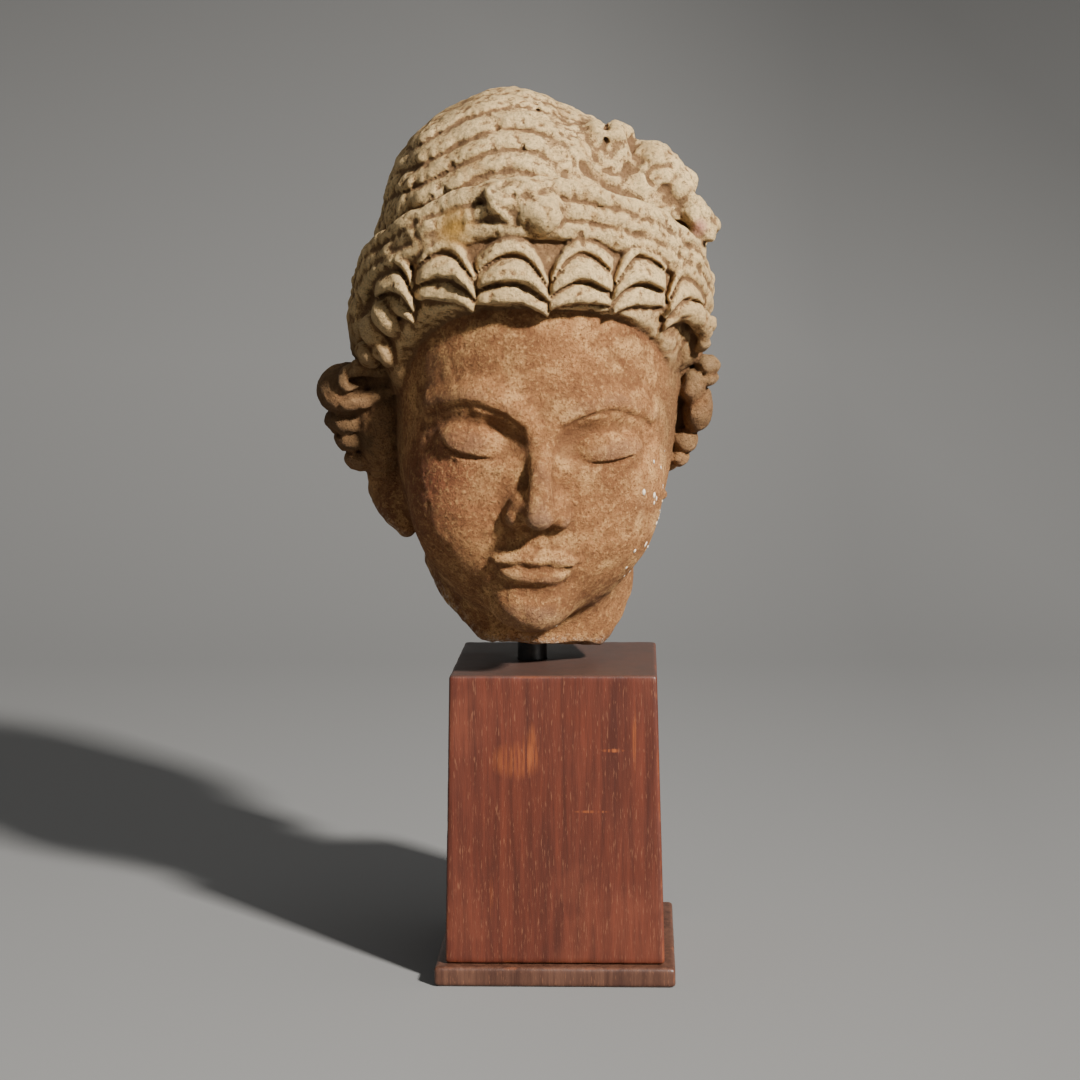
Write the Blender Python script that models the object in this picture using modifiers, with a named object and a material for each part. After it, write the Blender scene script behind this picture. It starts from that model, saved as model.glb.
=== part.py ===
"""Head of a bodhisattva in fired clay, broken at the neck, on a rod in a tapered wooden block.

The head is measured in angulas, the sculptor's finger: the face is twelve of them from
hairline to chin. Its own axes run x to the viewer's right, y to the back of the head and
z up, from a point level with the chin. Everything else is in metres, with +Z up and the
origin at the centre of the base board's underside.
"""

import math

import bmesh
import bpy
import numpy as np
import openvdb

# Stand
BOARD_THICKNESS = 0.0080
BOARD_MARGIN = 0.0042
BOARD_EDGE = 0.0015
BLOCK_FOOT = 0.0876
BLOCK_TOP = 0.0820
BLOCK_HEIGHT = 0.1160
BLOCK_EDGE = 0.0012
SEAT_GAP = 0.0003

# Rod
ROD_DIAMETER = 0.0120
ROD_CLEARANCE = 0.0003
ROD_IN_BLOCK = 0.0300
ROD_IN_HEAD = 0.0400
ROD_SIDE = -0.0100
ROD_END_EDGE = 0.0006
ROUND_STEPS = 32

# Head
FACE_HEIGHT = 0.1260
HEAD_GAP = 0.0045
HEAD_PITCH = 6.0
HEAD_LEAN = 3.2
HEAD_TURN = 5.0
HEAD_TRIANGLES = 8600
ANGULA = FACE_HEIGHT / 12
BLOCK_BASE = BOARD_THICKNESS + SEAT_GAP
STAND_TOP = BLOCK_BASE + BLOCK_HEIGHT

# In angulas: the neck's length, the rod's place under it, and the room that the head is
# carved in, with the spacing of its samples and how many of them a coarse step spans
NECK_DROP = 1.9
ROD_UNDER_NECK = (0.28, -0.76)
HEAD_LOW = (-9.6, -8.4, -3.4)
HEAD_HIGH = (8.2, 8.6, 21.0)
CARVING_STEP = 0.17
COARSE = 6


def ellipsoid(p, centre, radii, turn=None):
    """Distance to an ellipsoid, near enough to true close to its surface."""
    q = p - np.asarray(centre, float)
    if turn is not None:
        q = q @ turn
    r = np.asarray(radii, float)
    near = np.linalg.norm(q / r, axis=1)
    slope = np.linalg.norm(q / (r * r), axis=1)
    return near * (near - 1.0) / np.maximum(slope, 1e-9)


def cone(p, start, end, start_radius, end_radius):
    """Distance to a round-ended cone."""
    start = np.asarray(start, float)
    along = np.asarray(end, float) - start
    t = np.clip(((p - start) @ along) / (along @ along), 0, 1)
    radius = start_radius + (end_radius - start_radius) * t
    return np.linalg.norm(p - start - t[:, None] * along, axis=1) - radius


def chain(p, points, radii):
    d = cone(p, points[0], points[1], radii[0], radii[1])
    for i in range(1, len(points) - 1):
        d = np.minimum(d, cone(p, points[i], points[i + 1], radii[i], radii[i + 1]))
    return d


def smooth_path(points, radii, steps):
    """Points and radii of a smooth curve through the ones given."""
    knots = np.column_stack([np.asarray(points, float), radii])
    first = 2 * knots[0] - knots[1]
    last = 2 * knots[-1] - knots[-2]
    knots = np.vstack([first, knots, last])
    out = []
    for i in range(1, len(knots) - 2):
        a, b, c, d = knots[i - 1 : i + 3]
        for t in np.arange(steps) / steps:
            bend = (2 * a - 5 * b + 4 * c - d) * t**2 + (3 * b - a - 3 * c + d) * t**3
            out.append(b + 0.5 * ((c - a) * t + bend))
    out = np.array(out + [knots[-2]])
    return out[:, :3], np.maximum(out[:, 3], 0.02)


def join(a, b, blend):
    h = np.clip(0.5 + 0.5 * (b - a) / blend, 0, 1)
    return b + (a - b) * h - blend * h * (1 - h)


def cut(a, b, blend):
    return -join(-a, b, blend)


def meet(a, b, blend):
    return -join(-a, -b, blend)


def within(p, points, reach):
    """Which places lie in the box around these points."""
    low = np.min(points, axis=0) - reach
    high = np.max(points, axis=0) + reach
    return np.all((p > low) & (p < high), axis=1)


def press_on(d, p, centre, radii, blend, turn=None):
    """Adds a rounded lump of clay."""
    near = within(p, [centre], max(radii) + blend + 0.8)
    d[near] = join(d[near], ellipsoid(p[near], centre, radii, turn), blend)
    return d


def scoop(d, p, centre, radii, blend, turn=None):
    """Takes out a rounded hollow."""
    near = within(p, [centre], max(radii) + blend + 0.8)
    d[near] = cut(d[near], ellipsoid(p[near], centre, radii, turn), blend)
    return d


def lay_on(d, p, points, radii, blend, steps=4):
    """Adds a rolled strand of clay along a path."""
    path, sizes = smooth_path(points, radii, steps)
    near = within(p, path, max(radii) + blend + 0.6)
    d[near] = join(d[near], chain(p[near], path, sizes), blend)
    return d


def score(d, p, points, radii, blend, steps=4):
    """Presses a groove along a path."""
    path, sizes = smooth_path(points, radii, steps)
    near = within(p, path, max(radii) + blend + 0.6)
    d[near] = cut(d[near], chain(p[near], path, sizes), blend)
    return d


def mirrored(p):
    q = p.copy()
    q[:, 0] = np.abs(q[:, 0])
    return q


def tipped(degrees):
    """A turn that tips the x axis toward z."""
    c = math.cos(math.radians(degrees))
    s = math.sin(math.radians(degrees))
    return np.array([[c, 0, -s], [0, 1, 0], [s, 0, c]])


def bow(x, half, ends, middle):
    return middle + (ends - middle) * (x / half) ** 2


def noise(p, size, seed):
    """Smooth noise between -1 and 1, with lumps of about this size."""
    q = p @ tipped(37 + 11 * seed) @ np.roll(tipped(29 - 7 * seed), 1, (0, 1)) / size
    q = q + seed * 17.31
    base = np.floor(q)
    f = q - base
    f = f * f * (3 - 2 * f)
    cell = base.astype(np.int64)
    total = np.zeros(len(p))
    for corner in np.ndindex(2, 2, 2):
        x, y, z = (cell + corner).T
        mixed = x * 73856093 ^ y * 19349663 ^ z * 83492791
        mixed = (mixed ^ (mixed >> 13)) * 1274126177
        value = ((mixed ^ (mixed >> 16)) & 0xFFFF) / 32767.5 - 1.0
        weight = np.prod(np.where(corner, f, 1 - f), axis=1)
        total += value * weight
    return total


def skull(p):
    """The egg of the face, the jaw, cheeks, chin and neck."""
    m = mirrored(p)
    d = ellipsoid(p, (0, 0.7, 10.0), (5.75, 6.4, 6.4))
    d = join(d, ellipsoid(p, (0, -0.6, 6.7), (5.3, 5.65, 7.0)), 0.9)
    d = join(d, ellipsoid(p, (0, -2.7, 3.1), (3.85, 3.45, 3.1)), 1.1)
    d = join(d, ellipsoid(m, (2.5, -3.75, 4.7), (1.95, 1.75, 2.3)), 1.4)
    d = press_on(d, p, (0, -4.95, 0.98), (1.35, 1.4, 1.05), 1.0)
    return join(d, ellipsoid(p, (0.1, 0.8, 1.0), (4.15, 4.2, 7.5)), 0.7)


def brows_and_sockets(d, m):
    ridge = [(0.5, -5.85, 7.8), (1.3, -5.7, 8.5), (2.6, -5.25, 8.75), (3.9, -4.15, 8.2)]
    d = lay_on(d, m, ridge, [0.35, 0.5, 0.5, 0.35], 0.6)
    d = scoop(d, m, (2.25, -6.95, 7.25), (1.95, 1.5, 1.25), 0.12, tipped(-4))
    return scoop(d, m, (1.0, -6.7, 7.1), (0.5, 0.7, 0.8), 0.3)


def nose(d, p, m):
    bridge = [(0, -5.5, 8.3), (0, -6.15, 7.0), (0, -6.7, 5.8), (0, -7.05, 4.75)]
    d = lay_on(d, p, bridge, [0.36, 0.36, 0.42, 0.52], 0.3)
    d = press_on(d, m, (0.45, -6.1, 4.85), (0.65, 0.8, 0.75), 0.35)
    d = press_on(d, m, (0.85, -6.15, 4.55), (0.4, 0.6, 0.44), 0.12)
    return scoop(d, m, (0.42, -6.6, 4.1), (0.24, 0.4, 0.2), 0.12)


def lids(d, m):
    """Lowered lids over a round eye, half way up the head."""
    ball = ellipsoid(m, (2.15, -4.5, 6.9), (1.5, 1.25, 1.02))
    dx = m[:, 0] - 2.15
    upper = bow(dx, 1.45, 6.85, 6.6) + 0.05 * dx
    lower = bow(dx, 1.45, 6.85, 6.24) + 0.05 * dx
    z = m[:, 2]
    d = join(d, ball, 0.08)
    d = join(d, meet(ball - 0.2, upper - z, 0.06), 0.05)
    d = join(d, meet(ball - 0.15, z - lower, 0.06), 0.12)
    fold = [(1.3, -5.95, 7.55), (2.1, -5.85, 7.9), (2.95, -5.45, 7.65)]
    return score(d, m, fold, [0.05, 0.1, 0.05], 0.1)


def mouth(d, p, m):
    d = press_on(d, m, (0.6, -5.85, 3.0), (1.05, 0.62, 0.36), 0.2, tipped(-10))
    d = press_on(d, p, (0, -6.0, 2.95), (0.45, 0.55, 0.32), 0.2)
    d = press_on(d, m, (0.35, -5.85, 2.3), (0.95, 0.6, 0.38), 0.22, tipped(8))
    line = [
        (-1.6, -5.9, 2.76),
        (-0.9, -6.4, 2.62),
        (0, -6.6, 2.6),
        (0.9, -6.4, 2.62),
        (1.6, -5.9, 2.76),
    ]
    d = score(d, p, line, [0.06, 0.1, 0.1, 0.1, 0.06], 0.1, 6)
    d = scoop(d, p, (0, -6.6, 1.62), (1.0, 0.5, 0.32), 0.35)
    return score(d, p, [(0, -6.55, 3.35), (0, -6.35, 3.9)], [0.12, 0.1], 0.2)


def face(p):
    m = mirrored(p)
    d = skull(p)
    d = brows_and_sockets(d, m)
    d = nose(d, p, m)
    d = lids(d, m)
    return mouth(d, p, m)


def crown(p):
    """The mass of the dressed hair, before its locks."""
    d = ellipsoid(p, (-0.3, 0.6, 11.6), (6.45, 6.6, 6.6))
    d = join(d, ellipsoid(p, (-1.3, 0.2, 15.4), (4.4, 4.5, 4.1)), 1.5)
    return join(d, ellipsoid(p, (2.9, 0.4, 15.3), (2.85, 3.3, 2.45)), 0.7)


def front_at(x, z):
    """The y where the front of the hair's mass lies, at this x and z."""
    outside = -9.0
    inside = 0.6
    for _ in range(24):
        middle = 0.5 * (outside + inside)
        if crown(np.array([[x, middle, z]]))[0] > 0:
            outside = middle
        else:
            inside = middle
    return outside


def hairline(p):
    """Below the edge of the hair, which drops from the forehead to the nape."""
    back = np.maximum(p[:, 1] + 6.0, 0)
    return (12.1 - 0.28 * back**2 - p[:, 2]) / np.sqrt(1 + (0.56 * back) ** 2)


def combed(p):
    """Relief of the combed hair: nested arches in front, long strands behind."""
    aside = p[:, 0] + 1.5
    left = np.maximum(-aside, 0)
    right = np.maximum(aside, 0)
    rise = p[:, 2] - 14.6 + 0.5 * left**2 / (left + 1.5)
    across = np.sqrt((0.42 * left) ** 2 + (0.95 * right) ** 2 + rise**2)
    uneven = noise(p, 1.9, 21)
    arches = np.abs(np.sin(np.pi * (across / 0.72 + 0.3 * uneven))) ** 0.7 - 0.5
    fade = np.clip(1.3 - right * 0.5, 0, 1) * np.clip(0.55 + 0.45 * rise, 0.3, 1)
    arches = 0.15 * arches * fade
    turn = np.arctan2(p[:, 0] + 0.3, p[:, 1] + 1.5)
    flow = turn + 0.05 * np.sin(0.9 * p[:, 2]) + 0.025 * uneven
    behind = 0.14 * (np.abs(np.sin(21 * flow)) ** 0.7 - 0.5) * np.clip((19 - p[:, 2]) / 3, 0, 1)
    front = 1 / (1 + np.exp(p[:, 1] * 1.2 + 1.0))
    return arches * front + behind * (1 - front)


LOCK_EDGES = ((0.0, 0.8, 0.42), (0.8, 1.75, 0.7), (1.75, 2.6, 0.52))
LOCK_BELLY = 0.32


def lock_thickness(climb):
    """How far the three locks of a lobe stand out, each fullest near its lower edge."""
    thick = np.zeros(len(climb))
    for low, high, lift in LOCK_EDGES:
        t = np.clip((climb - low) / (high - low), 0, 1)
        away = np.where(t < LOCK_BELLY, t / LOCK_BELLY - 1, (t - LOCK_BELLY) / (1 - LOCK_BELLY))
        lock = 0.08 + (lift - 0.08) * (1 - away**2) ** 0.85
        thick = np.where((climb >= low) & (climb < high), lock, thick)
    return thick


def fringe_lobe(d, p, middle, bottom, half, side):
    """One lobe of the fringe: three arched locks that run together at the inner corner."""
    near = np.abs(p[:, 0] - middle) < half
    near &= (p[:, 2] > bottom - 0.9) & (p[:, 2] < bottom + 3.2) & (p[:, 1] < -0.6)
    q = p[near]
    across = side * (middle - q[:, 0]) / half + 0.08 * noise(q, 0.9, 22)
    inner = np.maximum(across, 0)
    outer = np.maximum(-across, 0)
    narrow = 1 - 0.46 * inner**2 - 0.36 * outer**2
    climb = (q[:, 2] - bottom + 0.3 * inner**2 + 0.12 * outer**2) / narrow
    edge = np.sqrt(np.clip(1 - np.abs(across) ** 8, 0, 1))
    lobe = meet(crown(q) - lock_thickness(climb) * edge, -climb * narrow, 0.06)
    d[near] = np.minimum(d[near], lobe)
    return d


FRINGE = (
    (-1.33, 12.15, 1.33, -1),
    (-3.72, 12.05, 1.1, -1),
    (-5.55, 11.3, 0.8, -1),
    (1.15, 12.3, 1.15, 1),
    (3.32, 12.2, 1.05, 1),
    (5.2, 11.5, 0.85, 1),
)


def fringe(d, p):
    for middle, bottom, half, side in FRINGE:
        d = fringe_lobe(d, p, middle, bottom, half, side)
    return d


BAND = (
    (-7.0, 0.2, 11.2),
    (-6.3, -1.9, 12.9),
    (-4.75, -3.7, 14.2),
    (-3.2, -4.6, 15.0),
    (-1.8, -5.1, 15.4),
    (-0.2, -5.2, 15.5),
    (1.7, -4.95, 15.35),
    (3.9, -3.8, 14.6),
    (5.45, -2.3, 13.5),
    (6.2, -0.4, 12.3),
)


def band(d, p):
    """The rolled band across the front, of three strands."""
    for shift, radius in ((0.74, 0.42), (0.0, 0.45), (-0.66, 0.42)):
        points = []
        for x, y, z in BAND:
            points.append((x, y + 0.25 * shift, z + shift * (1 - 0.05 * abs(x))))
        radii = [0.8 * radius] + [radius] * (len(BAND) - 2) + [0.8 * radius]
        d = lay_on(d, p, points, radii, 0.06)
    return d


def knob(d, p):
    """The worn ornament at the middle of the band."""
    near = within(p, [(-0.9, -5.3, 15.6)], 2.4)
    q = p[near]
    lump = ellipsoid(q, (-0.35, -5.5, 15.45), (0.85, 0.72, 0.82))
    lump = join(lump, ellipsoid(q, (-1.6, -5.3, 15.7), (0.8, 0.65, 0.68)), 0.3)
    lump = join(lump, ellipsoid(q, (-0.9, -5.2, 16.1), (1.0, 0.6, 0.4)), 0.3)
    lump += 0.1 * noise(q, 0.6, 3) + 0.06 * noise(q, 0.3, 4)
    d[near] = join(d[near], lump, 0.2)
    return d


CLUSTER = (
    ((1.5, -1.5, 17.8), (0.62, 1.1, 0.75), 0),
    ((2.4, -1.4, 17.75), (0.55, 1.1, 0.72), 0),
    ((2.0, -2.0, 17.1), (1.0, 0.95, 0.7), 30),
    ((3.9, -1.5, 16.95), (1.1, 1.25, 0.85), -20),
    ((4.65, -1.4, 16.35), (0.8, 1.1, 0.85), 0),
    ((3.3, -2.0, 16.4), (0.95, 0.95, 0.75), 30),
    ((5.4, -1.4, 15.4), (1.05, 1.2, 0.7), -40),
    ((5.9, -1.3, 14.85), (0.68, 1.05, 0.6), 0),
    ((5.6, -1.3, 14.25), (0.52, 0.85, 0.42), 0),
)


CLUSTER_GROOVE = ((1.1, 17.2), (2.2, 16.5), (3.3, 15.9), (4.1, 15.4), (5.2, 14.6), (5.9, 14.0))


def cluster(d, p):
    """The broken curls over the viewer's right, behind a deep groove."""
    near = within(p, [(1.2, -1.5, 17.8), (5.9, -1.3, 14.2)], 1.8)
    q = p[near]
    lumps = ellipsoid(q, (3.3, -0.9, 16.0), (2.5, 1.9, 1.5), tipped(-38))
    for centre, radii, tip in CLUSTER:
        lumps = join(lumps, ellipsoid(q, centre, radii, tipped(tip)), 0.14)
    lumps += 0.2 * noise(q, 0.8, 5) + 0.1 * noise(q, 0.36, 6)
    d[near] = join(d[near], lumps, 0.16)
    groove = [(x, front_at(x, z) - 0.1, z) for x, z in CLUSTER_GROOVE]
    d = score(d, p, groove, [0.2, 0.22, 0.24, 0.26, 0.28, 0.3], 0.15)
    split = [(1.95, -1.0, 18.6), (1.95, -2.2, 18.2), (1.95, -3.0, 17.4)]
    d = score(d, p, split, [0.2, 0.2, 0.14], 0.1)
    split = [(3.1, -1.2, 18.1), (2.95, -2.4, 17.75), (2.75, -3.1, 16.9)]
    d = score(d, p, split, [0.24, 0.22, 0.16], 0.1)
    ring = []
    for angle in np.linspace(0.3, 5.6, 9):
        ring.append((4.1 + 0.55 * math.cos(angle), -2.75, 16.75 + 0.38 * math.sin(angle)))
    return score(d, p, ring, [0.13] * len(ring), 0.1, 2)


TEMPLE_LOCKS = (
    ((-5.75, -3.1, 11.15), (0.75, 0.85, 0.5), -55),
    ((-6.25, -2.5, 10.55), (0.7, 0.8, 0.5), -60),
    ((-5.85, -2.5, 9.85), (0.65, 0.8, 0.45), -60),
    ((-6.45, -1.9, 9.6), (0.6, 0.8, 0.4), -50),
)


def left_curls(d, p):
    """The bunched curls beside the face on the viewer's left."""
    d = press_on(d, p, (-5.9, 0.2, 7.4), (1.2, 1.7, 2.9), 0.4)
    d = press_on(d, p, (-6.45, -0.2, 10.3), (0.85, 1.4, 1.5), 0.5)
    for centre, radii, tip in TEMPLE_LOCKS:
        d = press_on(d, p, centre, radii, 0.08, tipped(tip))
    d = press_on(d, p, (-7.2, -0.4, 7.95), (1.2, 1.25, 1.05), 0.15)
    d = press_on(d, p, (-7.3, -0.3, 6.75), (0.8, 0.95, 0.58), 0.08)
    d = press_on(d, p, (-7.0, -0.1, 6.0), (0.75, 0.85, 0.5), 0.08)
    d = press_on(d, p, (-6.6, 0.0, 5.25), (0.75, 0.8, 0.5), 0.08)
    curl = [
        (-5.6, -1.3, 8.9),
        (-6.6, -1.6, 9.05),
        (-7.3, -1.6, 8.75),
        (-7.25, -1.75, 8.3),
        (-6.8, -1.8, 8.35),
    ]
    d = lay_on(d, p, curl, [0.28, 0.34, 0.3, 0.22, 0.16], 0.08)
    sweep = [(-5.7, -1.3, 8.1), (-6.7, -1.55, 7.75), (-7.7, -1.3, 7.6), (-8.15, -0.7, 8.1)]
    return lay_on(d, p, sweep, [0.3, 0.33, 0.3, 0.2], 0.1)


RIGHT_CURLS = (
    ((6.35, -2.0, 11.35), (0.25, 0.4, 0.28)),
    ((6.0, -2.1, 10.6), (0.32, 0.45, 0.32)),
    ((6.35, -1.5, 9.75), (0.5, 0.7, 0.4)),
    ((6.4, -1.4, 9.2), (0.45, 0.6, 0.35)),
    ((5.85, -1.6, 8.9), (0.5, 0.7, 0.7)),
    ((6.15, -1.1, 8.0), (0.62, 0.95, 0.95)),
    ((5.75, -0.9, 6.7), (0.5, 0.7, 0.5)),
    ((5.6, -0.8, 6.05), (0.42, 0.6, 0.42)),
)


def right_curls(d, p):
    """The locks that hang beside the face on the viewer's right."""
    d = press_on(d, p, (5.35, 0.5, 8.6), (1.0, 1.7, 3.4), 0.4)
    d = press_on(d, p, (5.4, -0.3, 11.0), (0.95, 2.1, 1.9), 0.4)
    hook = [(4.4, -4.0, 12.05), (5.3, -3.4, 11.95), (5.95, -2.7, 11.35), (5.95, -2.5, 10.6)]
    d = lay_on(d, p, hook, [0.3, 0.42, 0.4, 0.14], 0.08)
    for centre, radii in RIGHT_CURLS:
        d = press_on(d, p, centre, radii, 0.1)
    return d


def hair(p):
    locks = combed(p)
    d = meet(crown(p) - locks, hairline(p), 0.15)
    nape = meet(ellipsoid(p, (0, 2.2, 7.6), (5.75, 4.9, 6.4)) - locks, 2.6 - p[:, 2], 0.4)
    d = join(d, nape, 0.5)
    d = band(d, p)
    d = knob(d, p)
    d = fringe(d, p)
    d = cluster(d, p)
    worn = 0.14 * noise(p, 1.8, 23) + 0.07 * noise(p, 0.8, 24)
    d = d + worn * np.clip((p[:, 2] - 11.5) / 3, 0.15, 1)
    d = left_curls(d, p)
    return right_curls(d, p)


def head_form(p):
    """The whole head as a field of distances, with the neck broken through."""
    d = np.minimum(face(p), hair(p))
    d = lay_on(d, p, [(-5.9, 0.6, 5.2), (-5.5, 0.5, 3.6), (-4.8, 0.4, 2.5)], [0.6, 0.65, 0.4], 0.25)
    d = press_on(d, p, (-4.9, 1.0, 4.0), (1.1, 1.4, 1.6), 0.4)
    d = press_on(d, p, (5.0, -0.8, 4.5), (0.25, 0.3, 0.22), 0.1)
    x, y, z = p.T
    rough = 0.16 * noise(p, 0.9, 1) + 0.07 * noise(p, 0.35, 2)
    d = meet(d, -1.8 + 0.22 * np.abs(y - 0.3) - z + rough, 0.12)
    d = meet(d, (-3.0 - x - z) * 0.72 + rough, 0.12)
    return meet(d, 0.81 * (x - 2.6) - 0.59 * (z + 1.85) + rough, 0.12)


def evaluated_copy(mesh, add_modifier):
    """The mesh as one modifier leaves it."""
    helper = bpy.data.objects.new("helper", mesh)
    bpy.context.scene.collection.objects.link(helper)
    add_modifier(helper)
    bpy.context.view_layer.update()
    graph = bpy.context.evaluated_depsgraph_get()
    made = bpy.data.meshes.new_from_object(helper.evaluated_get(graph))
    bpy.data.objects.remove(helper)
    bpy.data.meshes.remove(mesh)
    return made


def thinned(mesh, triangles):
    mesh.calc_loop_triangles()
    share = min(1.0, triangles / len(mesh.loop_triangles))

    def add_modifier(helper):
        decimate = helper.modifiers.new("thin", "DECIMATE")
        decimate.ratio = share
        decimate.use_collapse_triangulate = True

    return evaluated_copy(mesh, add_modifier)


def near_samples(form, low, shape, step):
    """The signs of a coarse grid on the fine one, and which fine samples lie near the surface."""
    count = [(n - 1) // COARSE + 1 for n in shape]
    steps = [start + COARSE * step * np.arange(n) for start, n in zip(low, count)]
    places = np.stack(np.meshgrid(*steps, indexing="ij"), -1).reshape(-1, 3)
    coarse = form(places).reshape(count)
    nearest = [np.clip((np.arange(n) + COARSE // 2) // COARSE, 0, c - 1) for n, c in zip(shape, count)]
    spread = coarse[np.ix_(*nearest)]
    return np.sign(spread).astype(np.float32), np.abs(spread) < 2 * COARSE * step


def surface_of(form, low, high, step):
    """A mesh of the surface where a form's distance is zero."""
    shape = [COARSE * math.ceil((h - l) / step / COARSE) + 1 for l, h in zip(low, high)]
    field, near = near_samples(form, low, shape, step)
    field[near] = form(np.array(low) + step * np.argwhere(near))
    grid = openvdb.FloatGrid(1.0)
    grid.copyFromArray(field)
    points, quads = grid.convertToQuads(0.0)
    places = ANGULA * (np.array(low) + step * np.asarray(points))
    mesh = bpy.data.meshes.new("form")
    mesh.from_pydata(places.tolist(), [], quads.tolist())
    return largest_shell(mesh)


def largest_shell(mesh):
    """The mesh without the crumbs beside it and the bubbles inside it."""
    edges = np.empty(len(mesh.edges) * 2, np.int64)
    mesh.edges.foreach_get("vertices", edges)
    first, second = edges.reshape(-1, 2).T
    label = np.arange(len(mesh.vertices))
    settled = False
    while not settled:
        lower = np.minimum(label[first], label[second])
        spread = label.copy()
        np.minimum.at(spread, first, lower)
        np.minimum.at(spread, second, lower)
        spread = spread[spread]
        settled = np.array_equal(spread, label)
        label = spread
    main = np.bincount(label).argmax()
    whole = bmesh.new()
    whole.from_mesh(mesh)
    loose = [vert for vert in whole.verts if label[vert.index] != main]
    bmesh.ops.delete(whole, geom=loose, context="VERTS")
    whole.to_mesh(mesh)
    whole.free()
    return mesh


def head_mesh():
    return thinned(surface_of(head_form, HEAD_LOW, HEAD_HIGH, CARVING_STEP), HEAD_TRIANGLES)


def material(name, colour, roughness, metallic=0.0):
    made = bpy.data.materials.new(name)
    made.use_nodes = True
    shader = made.node_tree.nodes["Principled BSDF"]
    shader.inputs["Base Color"].default_value = (*colour, 1.0)
    shader.inputs["Roughness"].default_value = roughness
    shader.inputs["Metallic"].default_value = metallic
    return made


def add_object(name, mesh, collection, finish=None):
    made = bpy.data.objects.new(name, mesh)
    collection.objects.link(made)
    if finish is not None:
        mesh.materials.append(finish)
    return made


def box_mesh(name, bottom, top, height):
    """A square box with its underside at z = 0, whose top may be of another size."""
    mesh = bpy.data.meshes.new(name)
    box = bmesh.new()
    bmesh.ops.create_cube(box, size=1.0)
    for vert in box.verts:
        side = top if vert.co.z > 0 else bottom
        vert.co.x *= side
        vert.co.y *= side
        vert.co.z = height if vert.co.z > 0 else 0.0
    box.to_mesh(mesh)
    box.free()
    return mesh


def round_mesh(name, radius, length):
    """A cylinder along z that starts at z = 0."""
    mesh = bpy.data.meshes.new(name)
    bar = bmesh.new()
    bmesh.ops.create_cone(
        bar, cap_ends=True, segments=ROUND_STEPS, radius1=radius, radius2=radius, depth=length
    )
    bmesh.ops.translate(bar, verts=bar.verts, vec=(0, 0, length / 2))
    bar.to_mesh(mesh)
    bar.free()
    return mesh


def add_cut(target, cutter):
    bore = target.modifiers.new("bore", "BOOLEAN")
    bore.operation = "DIFFERENCE"
    bore.solver = "EXACT"
    bore.object = cutter


def add_edge(target, width, segments=2):
    edge = target.modifiers.new("edge", "BEVEL")
    edge.width = width
    edge.segments = segments
    edge.limit_method = "ANGLE"


def make_board(parts):
    side = BLOCK_FOOT + 2 * BOARD_MARGIN
    finish = material("board_wood", (0.13, 0.055, 0.03), 0.5)
    board = add_object("base_board", box_mesh("base_board", side, side, BOARD_THICKNESS), parts, finish)
    add_edge(board, BOARD_EDGE)
    return board


def bore_cutter(name, cutters, x, y, z, length):
    cutter = add_object(name, round_mesh(name, ROD_DIAMETER / 2 + ROD_CLEARANCE, length), cutters)
    cutter.location = (x, y, z)
    cutter.hide_render = True
    cutter.display_type = "WIRE"
    return cutter


def make_block(parts, cutters):
    finish = material("block_wood", (0.16, 0.045, 0.02), 0.42)
    mesh = box_mesh("wood_block", BLOCK_FOOT, BLOCK_TOP, BLOCK_HEIGHT)
    block = add_object("wood_block", mesh, parts, finish)
    block.location.z = BLOCK_BASE
    add_edge(block, BLOCK_EDGE)
    floor = STAND_TOP - ROD_IN_BLOCK - ROD_CLEARANCE
    add_cut(block, bore_cutter("block_bore", cutters, ROD_SIDE, 0, floor, 2 * ROD_IN_BLOCK))
    return block


def make_rod(parts):
    length = ROD_IN_BLOCK + HEAD_GAP + ROD_IN_HEAD
    finish = material("rod_steel", (0.01, 0.01, 0.01), 0.45, 0.6)
    rod = add_object("mounting_rod", round_mesh("mounting_rod", ROD_DIAMETER / 2, length), parts, finish)
    rod.location = (ROD_SIDE, 0, STAND_TOP - ROD_IN_BLOCK)
    add_edge(rod, ROD_END_EDGE, 1)
    return rod


def make_head(parts, cutters):
    finish = material("fired_clay", (0.42, 0.26, 0.13), 0.9)
    head = add_object("head", head_mesh(), parts, finish)
    x, y = ROD_UNDER_NECK
    level = STAND_TOP + HEAD_GAP
    head.location = (ROD_SIDE - x * ANGULA, -y * ANGULA, level + NECK_DROP * ANGULA)
    head.rotation_euler = [math.radians(v) for v in (HEAD_PITCH, HEAD_LEAN, HEAD_TURN)]
    length = ROD_IN_HEAD + ROD_CLEARANCE + HEAD_GAP
    add_cut(head, bore_cutter("head_bore", cutters, ROD_SIDE, 0, STAND_TOP, length))
    return head


def shade_round(parts):
    for made in parts.objects:
        made.data.shade_smooth()
        made.data.set_sharp_from_angle(angle=math.radians(40))


def new_collection(name):
    made = bpy.data.collections.new(name)
    bpy.context.scene.collection.children.link(made)
    return made


def main():
    for old in list(bpy.data.objects):
        bpy.data.objects.remove(old)
    parts = new_collection("bodhisattva_head")
    cutters = new_collection("cutters")
    cutters.hide_render = True
    make_board(parts)
    make_block(parts, cutters)
    make_rod(parts)
    make_head(parts, cutters)
    shade_round(parts)


main()
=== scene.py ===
"""Looks of a bodhisattva's head in fired clay, on a rod over a tapered wooden block.

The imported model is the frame. The head's finer carving is worked out from the same form
as its solid, measured in angulas: the face is twelve from hairline to chin.
"""

import math

import bmesh
import bpy
import numpy as np
import openvdb
from bpy.props import FloatProperty, FloatVectorProperty, IntProperty, PointerProperty
from mathutils import Euler, Matrix, Vector


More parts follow.
